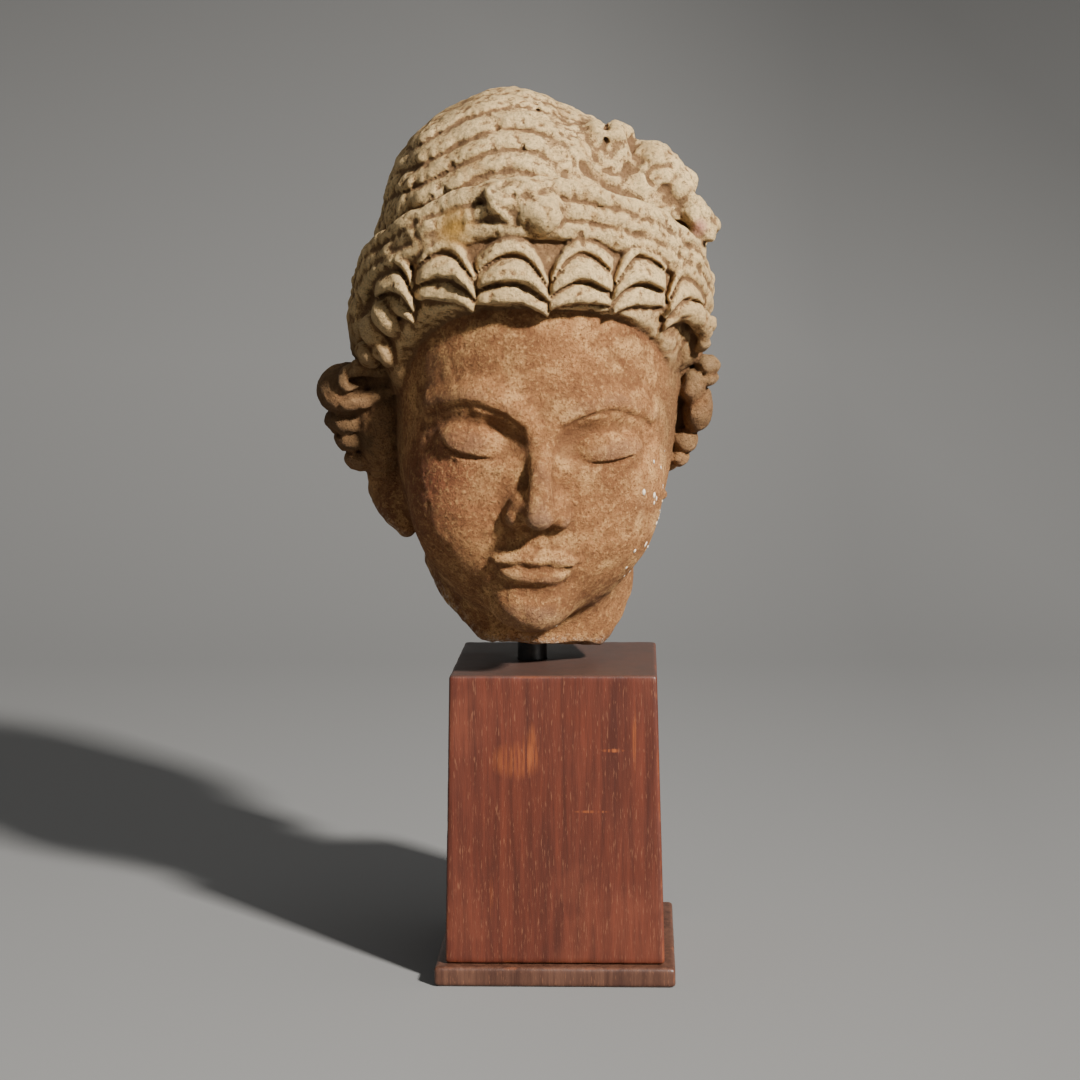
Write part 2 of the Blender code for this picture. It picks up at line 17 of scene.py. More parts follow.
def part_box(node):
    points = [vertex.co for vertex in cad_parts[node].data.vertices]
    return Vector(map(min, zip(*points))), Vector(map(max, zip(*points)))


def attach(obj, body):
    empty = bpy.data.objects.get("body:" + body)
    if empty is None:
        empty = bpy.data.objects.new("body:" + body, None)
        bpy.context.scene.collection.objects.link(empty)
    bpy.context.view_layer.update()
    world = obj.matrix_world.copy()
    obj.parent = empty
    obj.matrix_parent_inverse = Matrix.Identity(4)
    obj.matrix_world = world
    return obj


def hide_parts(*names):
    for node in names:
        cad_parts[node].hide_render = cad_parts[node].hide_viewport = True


bl_info = {
    "name": "Bodhisattva head",
    "version": (1, 0, 0),
    "blender": (4, 5, 0),
    "location": "View3D > Sidebar > Head",
    "description": "Carved clay head with dressed hair on a wooden display block",
    "category": "Object",
}

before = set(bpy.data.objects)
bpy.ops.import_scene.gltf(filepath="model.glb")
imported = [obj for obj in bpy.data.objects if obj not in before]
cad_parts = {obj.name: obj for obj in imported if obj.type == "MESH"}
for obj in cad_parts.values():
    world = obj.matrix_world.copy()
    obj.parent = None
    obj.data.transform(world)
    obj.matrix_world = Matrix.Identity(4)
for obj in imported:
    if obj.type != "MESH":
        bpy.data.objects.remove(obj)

# The head's place, as in the solid
ROD_SIDE = -0.0100
ROD_DIAMETER = 0.0120
ROD_CLEARANCE = 0.0003
HEAD_GAP = 0.0045
ROD_IN_HEAD = 0.0400
ROD_IN_BLOCK = 0.0303
BOARD_MARGIN = 0.0042
BLOCK_FOOT = 0.0876
BLOCK_TOP = 0.0820
HEAD_ANGLES = (6.0, 3.2, 5.0)
ANGULA = 0.0105
NECK_DROP = 1.9
ROD_UNDER_NECK = (0.28, -0.76)
STAND_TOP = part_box("wood_block")[1].z
# The room that the head's form lies in, and how many fine steps make a coarse one
HEAD_LOW = (-9.6, -8.4, -3.4)
HEAD_HIGH = (8.2, 8.6, 21.0)
COARSE = 6
# The camera fitted to the stand's corners: its lens in pixels of a frame this wide
CAMERA_PLACE = (0.035, -0.906, 0.282)
CAMERA_TURN = 2.62
CAMERA_DOWN = 6.84
CAMERA_ROLL = -0.48
FRAME_WIDTH = 1080
LENS_PIXELS = 2233
SENSOR_WIDTH = 36.0

HEAD_ORIGIN = Vector(
    (
        ROD_SIDE - ROD_UNDER_NECK[0] * ANGULA,
        -ROD_UNDER_NECK[1] * ANGULA,
        STAND_TOP + HEAD_GAP + NECK_DROP * ANGULA,
    )
)
HEAD_AXES = np.array(Euler([math.radians(a) for a in HEAD_ANGLES]).to_matrix())


def to_head(places):
    """World metres to the head's own axes, in angulas."""
    return (places - np.array(HEAD_ORIGIN)) @ HEAD_AXES / ANGULA


def to_world(p):
    """Angulas in the head's own axes to world metres."""
    return p * ANGULA @ HEAD_AXES.T + np.array(HEAD_ORIGIN)


def places_of(mesh):
    """The vertices' places, a row each."""
    places = np.empty(len(mesh.vertices) * 3)
    mesh.vertices.foreach_get("co", places)
    return places.reshape(-1, 3)


def edges_of(mesh):
    """The two vertices of each edge, a row each."""
    edges = np.empty(len(mesh.edges) * 2, np.int64)
    mesh.edges.foreach_get("vertices", edges)
    return edges.reshape(-1, 2)


def ellipsoid(p, centre, radii, turn=None):
    """Distance to an ellipsoid, near enough to true close to its surface."""
    q = p - np.asarray(centre, float)
    if turn is not None:
        q = q @ turn
    r = np.asarray(radii, float)
    near = np.linalg.norm(q / r, axis=1)
    slope = np.linalg.norm(q / (r * r), axis=1)
    return near * (near - 1.0) / np.maximum(slope, 1e-9)


def cone(p, start, end, start_radius, end_radius):
    """Distance to a round-ended cone."""
    start = np.asarray(start, float)
    along = np.asarray(end, float) - start
    t = np.clip(((p - start) @ along) / (along @ along), 0, 1)
    radius = start_radius + (end_radius - start_radius) * t
    return np.linalg.norm(p - start - t[:, None] * along, axis=1) - radius


def chain(p, points, radii):
    d = cone(p, points[0], points[1], radii[0], radii[1])
    for i in range(1, len(points) - 1):
        d = np.minimum(d, cone(p, points[i], points[i + 1], radii[i], radii[i + 1]))
    return d


def smooth_path(points, radii, steps):
    """Points and radii of a smooth curve through the ones given."""
    knots = np.column_stack([np.asarray(points, float), radii])
    first = 2 * knots[0] - knots[1]
    last = 2 * knots[-1] - knots[-2]
    knots = np.vstack([first, knots, last])
    out = []
    for i in range(1, len(knots) - 2):
        a, b, c, d = knots[i - 1 : i + 3]
        for t in np.arange(steps) / steps:
            bend = (2 * a - 5 * b + 4 * c - d) * t**2 + (3 * b - a - 3 * c + d) * t**3
            out.append(b + 0.5 * ((c - a) * t + bend))
    out = np.array(out + [knots[-2]])
    return out[:, :3], np.maximum(out[:, 3], 0.02)


def join(a, b, blend):
    h = np.clip(0.5 + 0.5 * (b - a) / blend, 0, 1)
    return b + (a - b) * h - blend * h * (1 - h)


def cut(a, b, blend):
    return -join(-a, b, blend)


def meet(a, b, blend):
    return -join(-a, -b, blend)


def within(p, points, reach):
    """Which places lie in the box around these points."""
    low = np.min(points, axis=0) - reach
    high = np.max(points, axis=0) + reach
    return np.all((p > low) & (p < high), axis=1)


def press_on(d, p, centre, radii, blend, turn=None):
    """Adds a rounded lump of clay."""
    near = within(p, [centre], max(radii) + blend + 0.8)
    d[near] = join(d[near], ellipsoid(p[near], centre, radii, turn), blend)
    return d


def scoop(d, p, centre, radii, blend, turn=None):
    """Takes out a rounded hollow."""
    near = within(p, [centre], max(radii) + blend + 0.8)
    d[near] = cut(d[near], ellipsoid(p[near], centre, radii, turn), blend)
    return d


def lay_on(d, p, points, radii, blend, steps=4):
    """Adds a rolled strand of clay along a path."""
    path, sizes = smooth_path(points, radii, steps)
    near = within(p, path, max(radii) + blend + 0.6)
    d[near] = join(d[near], chain(p[near], path, sizes), blend)
    return d


def score(d, p, points, radii, blend, steps=4):
    """Presses a groove along a path."""
    path, sizes = smooth_path(points, radii, steps)
    near = within(p, path, max(radii) + blend + 0.6)
    d[near] = cut(d[near], chain(p[near], path, sizes), blend)
    return d


def mirrored(p):
    q = p.copy()
    q[:, 0] = np.abs(q[:, 0])
    return q


def tipped(degrees):
    """A turn that tips the x axis toward z."""
    c = math.cos(math.radians(degrees))
    s = math.sin(math.radians(degrees))
    return np.array([[c, 0, -s], [0, 1, 0], [s, 0, c]])


def bow(x, half, ends, middle):
    return middle + (ends - middle) * (x / half) ** 2


def noise(p, size, seed):
    """Smooth noise between -1 and 1, with lumps of about this size."""
    q = p @ tipped(37 + 11 * seed) @ np.roll(tipped(29 - 7 * seed), 1, (0, 1)) / size
    q = q + seed * 17.31
    base = np.floor(q)
    f = q - base
    f = f * f * (3 - 2 * f)
    cell = base.astype(np.int64)
    total = np.zeros(len(p))
    for corner in np.ndindex(2, 2, 2):
        x, y, z = (cell + corner).T
        mixed = x * 73856093 ^ y * 19349663 ^ z * 83492791
        mixed = (mixed ^ (mixed >> 13)) * 1274126177
        value = ((mixed ^ (mixed >> 16)) & 0xFFFF) / 32767.5 - 1.0
        weight = np.prod(np.where(corner, f, 1 - f), axis=1)
        total += value * weight
    return total


def skull(p):
    """The egg of the face, the jaw, cheeks, chin and neck."""
    m = mirrored(p)
    d = ellipsoid(p, (0, 0.7, 10.0), (5.75, 6.4, 6.4))
    d = join(d, ellipsoid(p, (0, -0.6, 6.7), (5.3, 5.65, 7.0)), 0.9)
    d = join(d, ellipsoid(p, (0, -2.7, 3.1), (3.85, 3.45, 3.1)), 1.1)
    d = join(d, ellipsoid(m, (2.5, -3.75, 4.7), (1.95, 1.75, 2.3)), 1.4)
    d = press_on(d, p, (0, -4.95, 0.98), (1.35, 1.4, 1.05), 1.0)
    return join(d, ellipsoid(p, (0.1, 0.8, 1.0), (4.15, 4.2, 7.5)), 0.7)


def brows_and_sockets(d, m):
    ridge = [(0.5, -5.85, 7.8), (1.3, -5.7, 8.5), (2.6, -5.25, 8.75), (3.9, -4.15, 8.2)]
    d = lay_on(d, m, ridge, [0.35, 0.5, 0.5, 0.35], 0.6)
    d = scoop(d, m, (2.25, -6.95, 7.25), (1.95, 1.5, 1.25), 0.12, tipped(-4))
    return scoop(d, m, (1.0, -6.7, 7.1), (0.5, 0.7, 0.8), 0.3)


def nose(d, p, m):
    bridge = [(0, -5.5, 8.3), (0, -6.15, 7.0), (0, -6.7, 5.8), (0, -7.05, 4.75)]
    d = lay_on(d, p, bridge, [0.36, 0.36, 0.42, 0.52], 0.3)
    d = press_on(d, m, (0.45, -6.1, 4.85), (0.65, 0.8, 0.75), 0.35)
    d = press_on(d, m, (0.85, -6.15, 4.55), (0.4, 0.6, 0.44), 0.12)
    return scoop(d, m, (0.42, -6.6, 4.1), (0.24, 0.4, 0.2), 0.12)


def lids(d, m):
    """Lowered lids over a round eye, half way up the head."""
    ball = ellipsoid(m, (2.15, -4.5, 6.9), (1.5, 1.25, 1.02))
    dx = m[:, 0] - 2.15
    upper = bow(dx, 1.45, 6.85, 6.6) + 0.05 * dx
    lower = bow(dx, 1.45, 6.85, 6.24) + 0.05 * dx
    z = m[:, 2]
    d = join(d, ball, 0.08)
    d = join(d, meet(ball - 0.2, upper - z, 0.06), 0.05)
    d = join(d, meet(ball - 0.15, z - lower, 0.06), 0.12)
    fold = [(1.3, -5.95, 7.55), (2.1, -5.85, 7.9), (2.95, -5.45, 7.65)]
    return score(d, m, fold, [0.05, 0.1, 0.05], 0.1)


def mouth(d, p, m):
    d = press_on(d, m, (0.6, -5.85, 3.0), (1.05, 0.62, 0.36), 0.2, tipped(-10))
    d = press_on(d, p, (0, -6.0, 2.95), (0.45, 0.55, 0.32), 0.2)
    d = press_on(d, m, (0.35, -5.85, 2.3), (0.95, 0.6, 0.38), 0.22, tipped(8))
    line = [
        (-1.6, -5.9, 2.76),
        (-0.9, -6.4, 2.62),
        (0, -6.6, 2.6),
        (0.9, -6.4, 2.62),
        (1.6, -5.9, 2.76),
    ]
    d = score(d, p, line, [0.06, 0.1, 0.1, 0.1, 0.06], 0.1, 6)
    d = scoop(d, p, (0, -6.6, 1.62), (1.0, 0.5, 0.32), 0.35)
    return score(d, p, [(0, -6.55, 3.35), (0, -6.35, 3.9)], [0.12, 0.1], 0.2)


def face(p):
    m = mirrored(p)
    d = skull(p)
    d = brows_and_sockets(d, m)
    d = nose(d, p, m)
    d = lids(d, m)
    return mouth(d, p, m)


def crown(p):
    """The mass of the dressed hair, before its locks."""
    d = ellipsoid(p, (-0.3, 0.6, 11.6), (6.45, 6.6, 6.6))
    d = join(d, ellipsoid(p, (-1.3, 0.2, 15.4), (4.4, 4.5, 4.1)), 1.5)
    return join(d, ellipsoid(p, (2.9, 0.4, 15.3), (2.85, 3.3, 2.45)), 0.7)


def front_at(x, z):
    """The y where the front of the hair's mass lies, at this x and z."""
    outside = -9.0
    inside = 0.6
    for _ in range(24):
        middle = 0.5 * (outside + inside)
        if crown(np.array([[x, middle, z]]))[0] > 0:
            outside = middle
        else:
            inside = middle
    return outside


def hairline(p):
    """Below the edge of the hair, which drops from the forehead to the nape."""
    back = np.maximum(p[:, 1] + 6.0, 0)
    return (12.1 - 0.28 * back**2 - p[:, 2]) / np.sqrt(1 + (0.56 * back) ** 2)


def combed(p):
    """Relief of the combed hair: nested arches in front, long strands behind."""
    aside = p[:, 0] + 1.5
    left = np.maximum(-aside, 0)
    right = np.maximum(aside, 0)
    rise = p[:, 2] - 14.6 + 0.5 * left**2 / (left + 1.5)
    across = np.sqrt((0.42 * left) ** 2 + (0.95 * right) ** 2 + rise**2)
    uneven = noise(p, 1.9, 21)
    arches = np.abs(np.sin(np.pi * (across / 0.72 + 0.3 * uneven))) ** 0.7 - 0.5
    fade = np.clip(1.3 - right * 0.5, 0, 1) * np.clip(0.55 + 0.45 * rise, 0.3, 1)
    arches = 0.15 * arches * fade
    turn = np.arctan2(p[:, 0] + 0.3, p[:, 1] + 1.5)
    flow = turn + 0.05 * np.sin(0.9 * p[:, 2]) + 0.025 * uneven
    behind = 0.14 * (np.abs(np.sin(21 * flow)) ** 0.7 - 0.5) * np.clip((19 - p[:, 2]) / 3, 0, 1)
    front = 1 / (1 + np.exp(p[:, 1] * 1.2 + 1.0))
    return arches * front + behind * (1 - front)


# Lower edge, upper edge and thickness of each lock of a lobe, and where it is fullest
LOCK_EDGES = ((0.0, 0.8, 0.42), (0.8, 1.75, 0.7), (1.75, 2.6, 0.52))
LOCK_BELLY = 0.32


def lock_thickness(climb):
    """How far the three locks of a lobe stand out, each fullest near its lower edge."""
    thick = np.zeros(len(climb))
    for low, high, lift in LOCK_EDGES:
        t = np.clip((climb - low) / (high - low), 0, 1)
        away = np.where(t < LOCK_BELLY, t / LOCK_BELLY - 1, (t - LOCK_BELLY) / (1 - LOCK_BELLY))
        lock = 0.08 + (lift - 0.08) * (1 - away**2) ** 0.85
        thick = np.where((climb >= low) & (climb < high), lock, thick)
    return thick


def fringe_lobe(d, p, middle, bottom, half, side):
    """One lobe of the fringe: three arched locks that run together at the inner corner."""
    near = np.abs(p[:, 0] - middle) < half
    near &= (p[:, 2] > bottom - 0.9) & (p[:, 2] < bottom + 3.2) & (p[:, 1] < -0.6)
    q = p[near]
    across = side * (middle - q[:, 0]) / half + 0.08 * noise(q, 0.9, 22)
    inner = np.maximum(across, 0)
    outer = np.maximum(-across, 0)
    narrow = 1 - 0.46 * inner**2 - 0.36 * outer**2
    climb = (q[:, 2] - bottom + 0.3 * inner**2 + 0.12 * outer**2) / narrow
    edge = np.sqrt(np.clip(1 - np.abs(across) ** 8, 0, 1))
    lobe = meet(crown(q) - lock_thickness(climb) * edge, -climb * narrow, 0.06)
    d[near] = np.minimum(d[near], lobe)
    return d


# Middle, bottom, half width and inner side of each lobe
FRINGE = (
    (-1.33, 12.15, 1.33, -1),
    (-3.72, 12.05, 1.1, -1),
    (-5.55, 11.3, 0.8, -1),
    (1.15, 12.3, 1.15, 1),
    (3.32, 12.2, 1.05, 1),
    (5.2, 11.5, 0.85, 1),
)


def fringe(d, p):
    for middle, bottom, half, side in FRINGE:
        d = fringe_lobe(d, p, middle, bottom, half, side)
    return d


# The band's middle strand, from the viewer's left to right
BAND = (
    (-7.0, 0.2, 11.2),
    (-6.3, -1.9, 12.9),
    (-4.75, -3.7, 14.2),
    (-3.2, -4.6, 15.0),
    (-1.8, -5.1, 15.4),
    (-0.2, -5.2, 15.5),
    (1.7, -4.95, 15.35),
    (3.9, -3.8, 14.6),
    (5.45, -2.3, 13.5),
    (6.2, -0.4, 12.3),
)


def band(d, p):
    """The rolled band across the front, of three strands."""
    for shift, radius in ((0.74, 0.42), (0.0, 0.45), (-0.66, 0.42)):
        points = []
        for x, y, z in BAND:
            points.append((x, y + 0.25 * shift, z + shift * (1 - 0.05 * abs(x))))
        radii = [0.8 * radius] + [radius] * (len(BAND) - 2) + [0.8 * radius]
        d = lay_on(d, p, points, radii, 0.06)
    return d


def knob(d, p):
    """The worn ornament at the middle of the band."""
    near = within(p, [(-0.9, -5.3, 15.6)], 2.4)
    q = p[near]
    lump = ellipsoid(q, (-0.35, -5.5, 15.45), (0.85, 0.72, 0.82))
    lump = join(lump, ellipsoid(q, (-1.6, -5.3, 15.7), (0.8, 0.65, 0.68)), 0.3)
    lump = join(lump, ellipsoid(q, (-0.9, -5.2, 16.1), (1.0, 0.6, 0.4)), 0.3)
    lump += 0.1 * noise(q, 0.6, 3) + 0.06 * noise(q, 0.3, 4)
    d[near] = join(d[near], lump, 0.2)
    return d


# Centre, radii and tip of each broken curl
CLUSTER = (
    ((1.5, -1.5, 17.8), (0.62, 1.1, 0.75), 0),
    ((2.4, -1.4, 17.75), (0.55, 1.1, 0.72), 0),
    ((2.0, -2.0, 17.1), (1.0, 0.95, 0.7), 30),
    ((3.9, -1.5, 16.95), (1.1, 1.25, 0.85), -20),
    ((4.65, -1.4, 16.35), (0.8, 1.1, 0.85), 0),
    ((3.3, -2.0, 16.4), (0.95, 0.95, 0.75), 30),
    ((5.4, -1.4, 15.4), (1.05, 1.2, 0.7), -40),
    ((5.9, -1.3, 14.85), (0.68, 1.05, 0.6), 0),
    ((5.6, -1.3, 14.25), (0.52, 0.85, 0.42), 0),
)


CLUSTER_GROOVE = ((1.1, 17.2), (2.2, 16.5), (3.3, 15.9), (4.1, 15.4), (5.2, 14.6), (5.9, 14.0))


def cluster(d, p):
    """The broken curls over the viewer's right, behind a deep groove."""
    near = within(p, [(1.2, -1.5, 17.8), (5.9, -1.3, 14.2)], 1.8)
    q = p[near]
    lumps = ellipsoid(q, (3.3, -0.9, 16.0), (2.5, 1.9, 1.5), tipped(-38))
    for centre, radii, tip in CLUSTER:
        lumps = join(lumps, ellipsoid(q, centre, radii, tipped(tip)), 0.14)
    lumps += 0.2 * noise(q, 0.8, 5) + 0.1 * noise(q, 0.36, 6)
    d[near] = join(d[near], lumps, 0.16)
    groove = [(x, front_at(x, z) - 0.1, z) for x, z in CLUSTER_GROOVE]
    d = score(d, p, groove, [0.2, 0.22, 0.24, 0.26, 0.28, 0.3], 0.15)
    split = [(1.95, -1.0, 18.6), (1.95, -2.2, 18.2), (1.95, -3.0, 17.4)]
    d = score(d, p, split, [0.2, 0.2, 0.14], 0.1)
    split = [(3.1, -1.2, 18.1), (2.95, -2.4, 17.75), (2.75, -3.1, 16.9)]
    d = score(d, p, split, [0.24, 0.22, 0.16], 0.1)
    ring = []
    for angle in np.linspace(0.3, 5.6, 9):
        ring.append((4.1 + 0.55 * math.cos(angle), -2.75, 16.75 + 0.38 * math.sin(angle)))
    return score(d, p, ring, [0.13] * len(ring), 0.1, 2)


# Centre, radii and tip of each lock at the temple
TEMPLE_LOCKS = (
    ((-5.75, -3.1, 11.15), (0.75, 0.85, 0.5), -55),
    ((-6.25, -2.5, 10.55), (0.7, 0.8, 0.5), -60),
    ((-5.85, -2.5, 9.85), (0.65, 0.8, 0.45), -60),
    ((-6.45, -1.9, 9.6), (0.6, 0.8, 0.4), -50),
)


def left_curls(d, p):
    """The bunched curls beside the face on the viewer's left."""
    d = press_on(d, p, (-5.9, 0.2, 7.4), (1.2, 1.7, 2.9), 0.4)
    d = press_on(d, p, (-6.45, -0.2, 10.3), (0.85, 1.4, 1.5), 0.5)
    for centre, radii, tip in TEMPLE_LOCKS:
        d = press_on(d, p, centre, radii, 0.08, tipped(tip))
    d = press_on(d, p, (-7.2, -0.4, 7.95), (1.2, 1.25, 1.05), 0.15)
    d = press_on(d, p, (-7.3, -0.3, 6.75), (0.8, 0.95, 0.58), 0.08)
    d = press_on(d, p, (-7.0, -0.1, 6.0), (0.75, 0.85, 0.5), 0.08)
    d = press_on(d, p, (-6.6, 0.0, 5.25), (0.75, 0.8, 0.5), 0.08)
    curl = [
        (-5.6, -1.3, 8.9),
        (-6.6, -1.6, 9.05),
        (-7.3, -1.6, 8.75),
        (-7.25, -1.75, 8.3),
        (-6.8, -1.8, 8.35),
    ]
    d = lay_on(d, p, curl, [0.28, 0.34, 0.3, 0.22, 0.16], 0.08)
    sweep = [(-5.7, -1.3, 8.1), (-6.7, -1.55, 7.75), (-7.7, -1.3, 7.6), (-8.15, -0.7, 8.1)]
    return lay_on(d, p, sweep, [0.3, 0.33, 0.3, 0.2], 0.1)


# Centre and radii of each curl, from the top down
RIGHT_CURLS = (
    ((6.35, -2.0, 11.35), (0.25, 0.4, 0.28)),
    ((6.0, -2.1, 10.6), (0.32, 0.45, 0.32)),
    ((6.35, -1.5, 9.75), (0.5, 0.7, 0.4)),
    ((6.4, -1.4, 9.2), (0.45, 0.6, 0.35)),
    ((5.85, -1.6, 8.9), (0.5, 0.7, 0.7)),
    ((6.15, -1.1, 8.0), (0.62, 0.95, 0.95)),
    ((5.75, -0.9, 6.7), (0.5, 0.7, 0.5)),
    ((5.6, -0.8, 6.05), (0.42, 0.6, 0.42)),
)


def right_curls(d, p):
    """The locks that hang beside the face on the viewer's right."""
    d = press_on(d, p, (5.35, 0.5, 8.6), (1.0, 1.7, 3.4), 0.4)
    d = press_on(d, p, (5.4, -0.3, 11.0), (0.95, 2.1, 1.9), 0.4)
    hook = [(4.4, -4.0, 12.05), (5.3, -3.4, 11.95), (5.95, -2.7, 11.35), (5.95, -2.5, 10.6)]
    d = lay_on(d, p, hook, [0.3, 0.42, 0.4, 0.14], 0.08)
    for centre, radii in RIGHT_CURLS:
        d = press_on(d, p, centre, radii, 0.1)
    return d


def hair(p):
    locks = combed(p)
    d = meet(crown(p) - locks, hairline(p), 0.15)
    nape = meet(ellipsoid(p, (0, 2.2, 7.6), (5.75, 4.9, 6.4)) - locks, 2.6 - p[:, 2], 0.4)
    d = join(d, nape, 0.5)
    d = band(d, p)
    d = knob(d, p)
    d = fringe(d, p)
    d = cluster(d, p)
    worn = 0.14 * noise(p, 1.8, 23) + 0.07 * noise(p, 0.8, 24)
    d = d + worn * np.clip((p[:, 2] - 11.5) / 3, 0.15, 1)
    d = left_curls(d, p)
    return right_curls(d, p)


def head_form(p):
    """The whole head as a field of distances, with the neck broken through."""
    d = np.minimum(face(p), hair(p))
    d = lay_on(d, p, [(-5.9, 0.6, 5.2), (-5.5, 0.5, 3.6), (-4.8, 0.4, 2.5)], [0.6, 0.65, 0.4], 0.25)
    d = press_on(d, p, (-4.9, 1.0, 4.0), (1.1, 1.4, 1.6), 0.4)
    d = press_on(d, p, (5.0, -0.8, 4.5), (0.25, 0.3, 0.22), 0.1)
    x, y, z = p.T
    rough = 0.16 * noise(p, 0.9, 1) + 0.07 * noise(p, 0.35, 2)
    d = meet(d, -1.8 + 0.22 * np.abs(y - 0.3) - z + rough, 0.12)
    d = meet(d, (-3.0 - x - z) * 0.72 + rough, 0.12)
    return meet(d, 0.81 * (x - 2.6) - 0.59 * (z + 1.85) + rough, 0.12)


def weathered(p, hairy):
    """Wear, sand and pits too fine for the solid, in angulas."""
    worn = 0.06 * noise(p, 0.7, 11) + 0.045 * noise(p, 0.36, 12) + 0.035 * noise(p, 0.2, 15)
    pits = 0.2 * np.clip(noise(p, 0.4, 13) - 0.5, 0, 1) * np.clip(noise(p, 1.6, 16) + 0.6, 0, 1)
    fine = 0.16 * np.clip(noise(p, 0.21, 14) - 0.35, 0, 1)
    hair_wear = worn + pits + fine
    skin_wear = 0.25 * worn + 0.5 * fine
    return np.where(hairy, hair_wear, skin_wear)


def laid_on_face(points):
    """The nearest places on the face to these points."""
    p = np.array(points, float)
    step = 0.01
    for _ in range(6):
        d = face(p)
        slope = np.empty_like(p)
        for axis in range(3):
            moved = p.copy()
            moved[:, axis] += step
            slope[:, axis] = (face(moved) - d) / step
        p -= slope * (d / np.maximum(np.sum(slope**2, axis=1), 0.3))[:, None]
    return [tuple(place) for place in p]


# Edges cut on both halves of the face, as places on its right half
BROW_EDGE = ((0.8, -6.2, 7.75), (1.5, -6.0, 8.3), (2.5, -5.7, 8.5), (3.4, -5.0, 8.25), (4.1, -4.2, 7.8))
LIP_EDGE = ((0.0, -6.8, 3.28), (0.5, -6.7, 3.38), (1.1, -6.4, 3.12), (1.6, -6.0, 2.86))


def cut_edges(p):
    """The crisp edges that the modeller's tool left along the brows and the upper lip."""
    d = head_form(p)
    m = mirrored(p)
    d = score(d, m, BROW_CUT, [0.03, 0.07, 0.08, 0.06, 0.03], 0.16)
    return score(d, m, LIP_CUT, [0.06, 0.05, 0.05, 0.03], 0.1)


BROW_CUT = laid_on_face(BROW_EDGE)
LIP_CUT = laid_on_face(LIP_EDGE)


def dressed_form(p):
    """The head with its weathering and the bore that the rod stands in."""
    hairy = hair(p) < face(p)
    d = cut_edges(p) + weathered(p, hairy)
    crest = np.clip((p[:, 2] - 14.6) / 1.2, 0, 1) * hairy
    filled = 0.5 + 0.35 * np.clip(noise(p, 2.2, 17) + 0.4, 0, 1)
    d = d - filled * crest * combed(p)
    q = to_world(p)
    across = np.hypot(q[:, 0] - ROD_SIDE, q[:, 1])
    bore = across - ROD_DIAMETER / 2 - ROD_CLEARANCE
    above = q[:, 2] - (STAND_TOP + HEAD_GAP + ROD_IN_HEAD + ROD_CLEARANCE)
    return np.maximum(d, -np.maximum(bore, above) / ANGULA)


def sampled(form, p):
    """The form's distances at many points, a block at a time."""
    block = 200000
    return np.concatenate([form(p[i : i + block]) for i in range(0, len(p), block)])


def near_samples(form, low, shape, step):
    """A coarse grid's signs on the fine grid, and which fine samples lie near the surface."""
    count = [(n - 1) // COARSE + 1 for n in shape]
    steps = [low[i] + COARSE * step * np.arange(count[i]) for i in range(3)]
    places = np.stack(np.meshgrid(*steps, indexing="ij"), -1).reshape(-1, 3)
    coarse = sampled(form, places).reshape(count)
    nearest = [np.clip((np.arange(n) + COARSE // 2) // COARSE, 0, c - 1) for n, c in zip(shape, count)]
    spread = coarse[np.ix_(*nearest)]
    return np.sign(spread).astype(np.float32), np.abs(spread) < 1.5 * COARSE * step


def surface_of(form, low, high, step):
    """A mesh of the surface where a form's distance is zero."""
    shape = [COARSE * math.ceil((h - l) / step / COARSE) + 1 for l, h in zip(low, high)]
    field, near = near_samples(form, low, shape, step)
    places = np.array(low) + step * np.argwhere(near)
    field[near] = sampled(form, places)
    grid = openvdb.FloatGrid(1.0)
    grid.copyFromArray(field)
    points, quads = grid.convertToQuads(0.0)
    mesh = bpy.data.meshes.new("form")
    places = to_world(np.array(low) + step * np.asarray(points))
    mesh.from_pydata(places.tolist(), [], quads.tolist())
    return largest_shell(mesh)


def largest_shell(mesh):
    """The mesh without the loose crumbs that noise leaves beside it."""
    edges = edges_of(mesh)
    label = np.arange(len(mesh.vertices))
    while True:
        lower = np.minimum(label[edges[:, 0]], label[edges[:, 1]])
        changed = label.copy()
        np.minimum.at(changed, edges[:, 0], lower)
        np.minimum.at(changed, edges[:, 1], lower)
        changed = changed[changed]
        if np.array_equal(changed, label):
            break
        label = changed
    main = np.bincount(label).argmax()
    whole = bmesh.new()
    whole.from_mesh(mesh)
    loose = [vert for vert in whole.verts if label[vert.index] != main]
    bmesh.ops.delete(whole, geom=loose, context="VERTS")
    whole.to_mesh(mesh)
    whole.free()
    return mesh


def evaluated_copy(mesh, add_modifier):
    """The mesh as one modifier leaves it."""
    helper = bpy.data.objects.new("helper", mesh)
    bpy.context.scene.collection.objects.link(helper)
    add_modifier(helper)
    bpy.context.view_layer.update()
    graph = bpy.context.evaluated_depsgraph_get()
    made = bpy.data.meshes.new_from_object(helper.evaluated_get(graph))
    bpy.data.objects.remove(helper)
    bpy.data.meshes.remove(mesh)
    return made


def smoothed(mesh):
    def add_modifier(helper):
        smooth = helper.modifiers.new("smooth", "SMOOTH")
        smooth.factor = 0.4
        smooth.iterations = 1

    return evaluated_copy(mesh, add_modifier)


def thinned(mesh, triangles):
    mesh.calc_loop_triangles()
    share = min(1.0, triangles / len(mesh.loop_triangles))

    def add_modifier(helper):
        decimate = helper.modifiers.new("thin", "DECIMATE")
        decimate.ratio = share
        decimate.use_collapse_triangulate = True

    return evaluated_copy(mesh, add_modifier)


def set_attribute(mesh, name, values):
    made = mesh.attributes.new(name, "FLOAT", "POINT")
    made.data.foreach_set("value", np.asarray(values, np.float32))


def neighbour_mean(values, edges, counts):
    total = np.zeros_like(values)
    for axis in range(values.shape[1]):
        total[:, axis] += np.bincount(edges[:, 0], values[edges[:, 1], axis], len(values))
        total[:, axis] += np.bincount(edges[:, 1], values[edges[:, 0], axis], len(values))
    return total / counts[:, None]


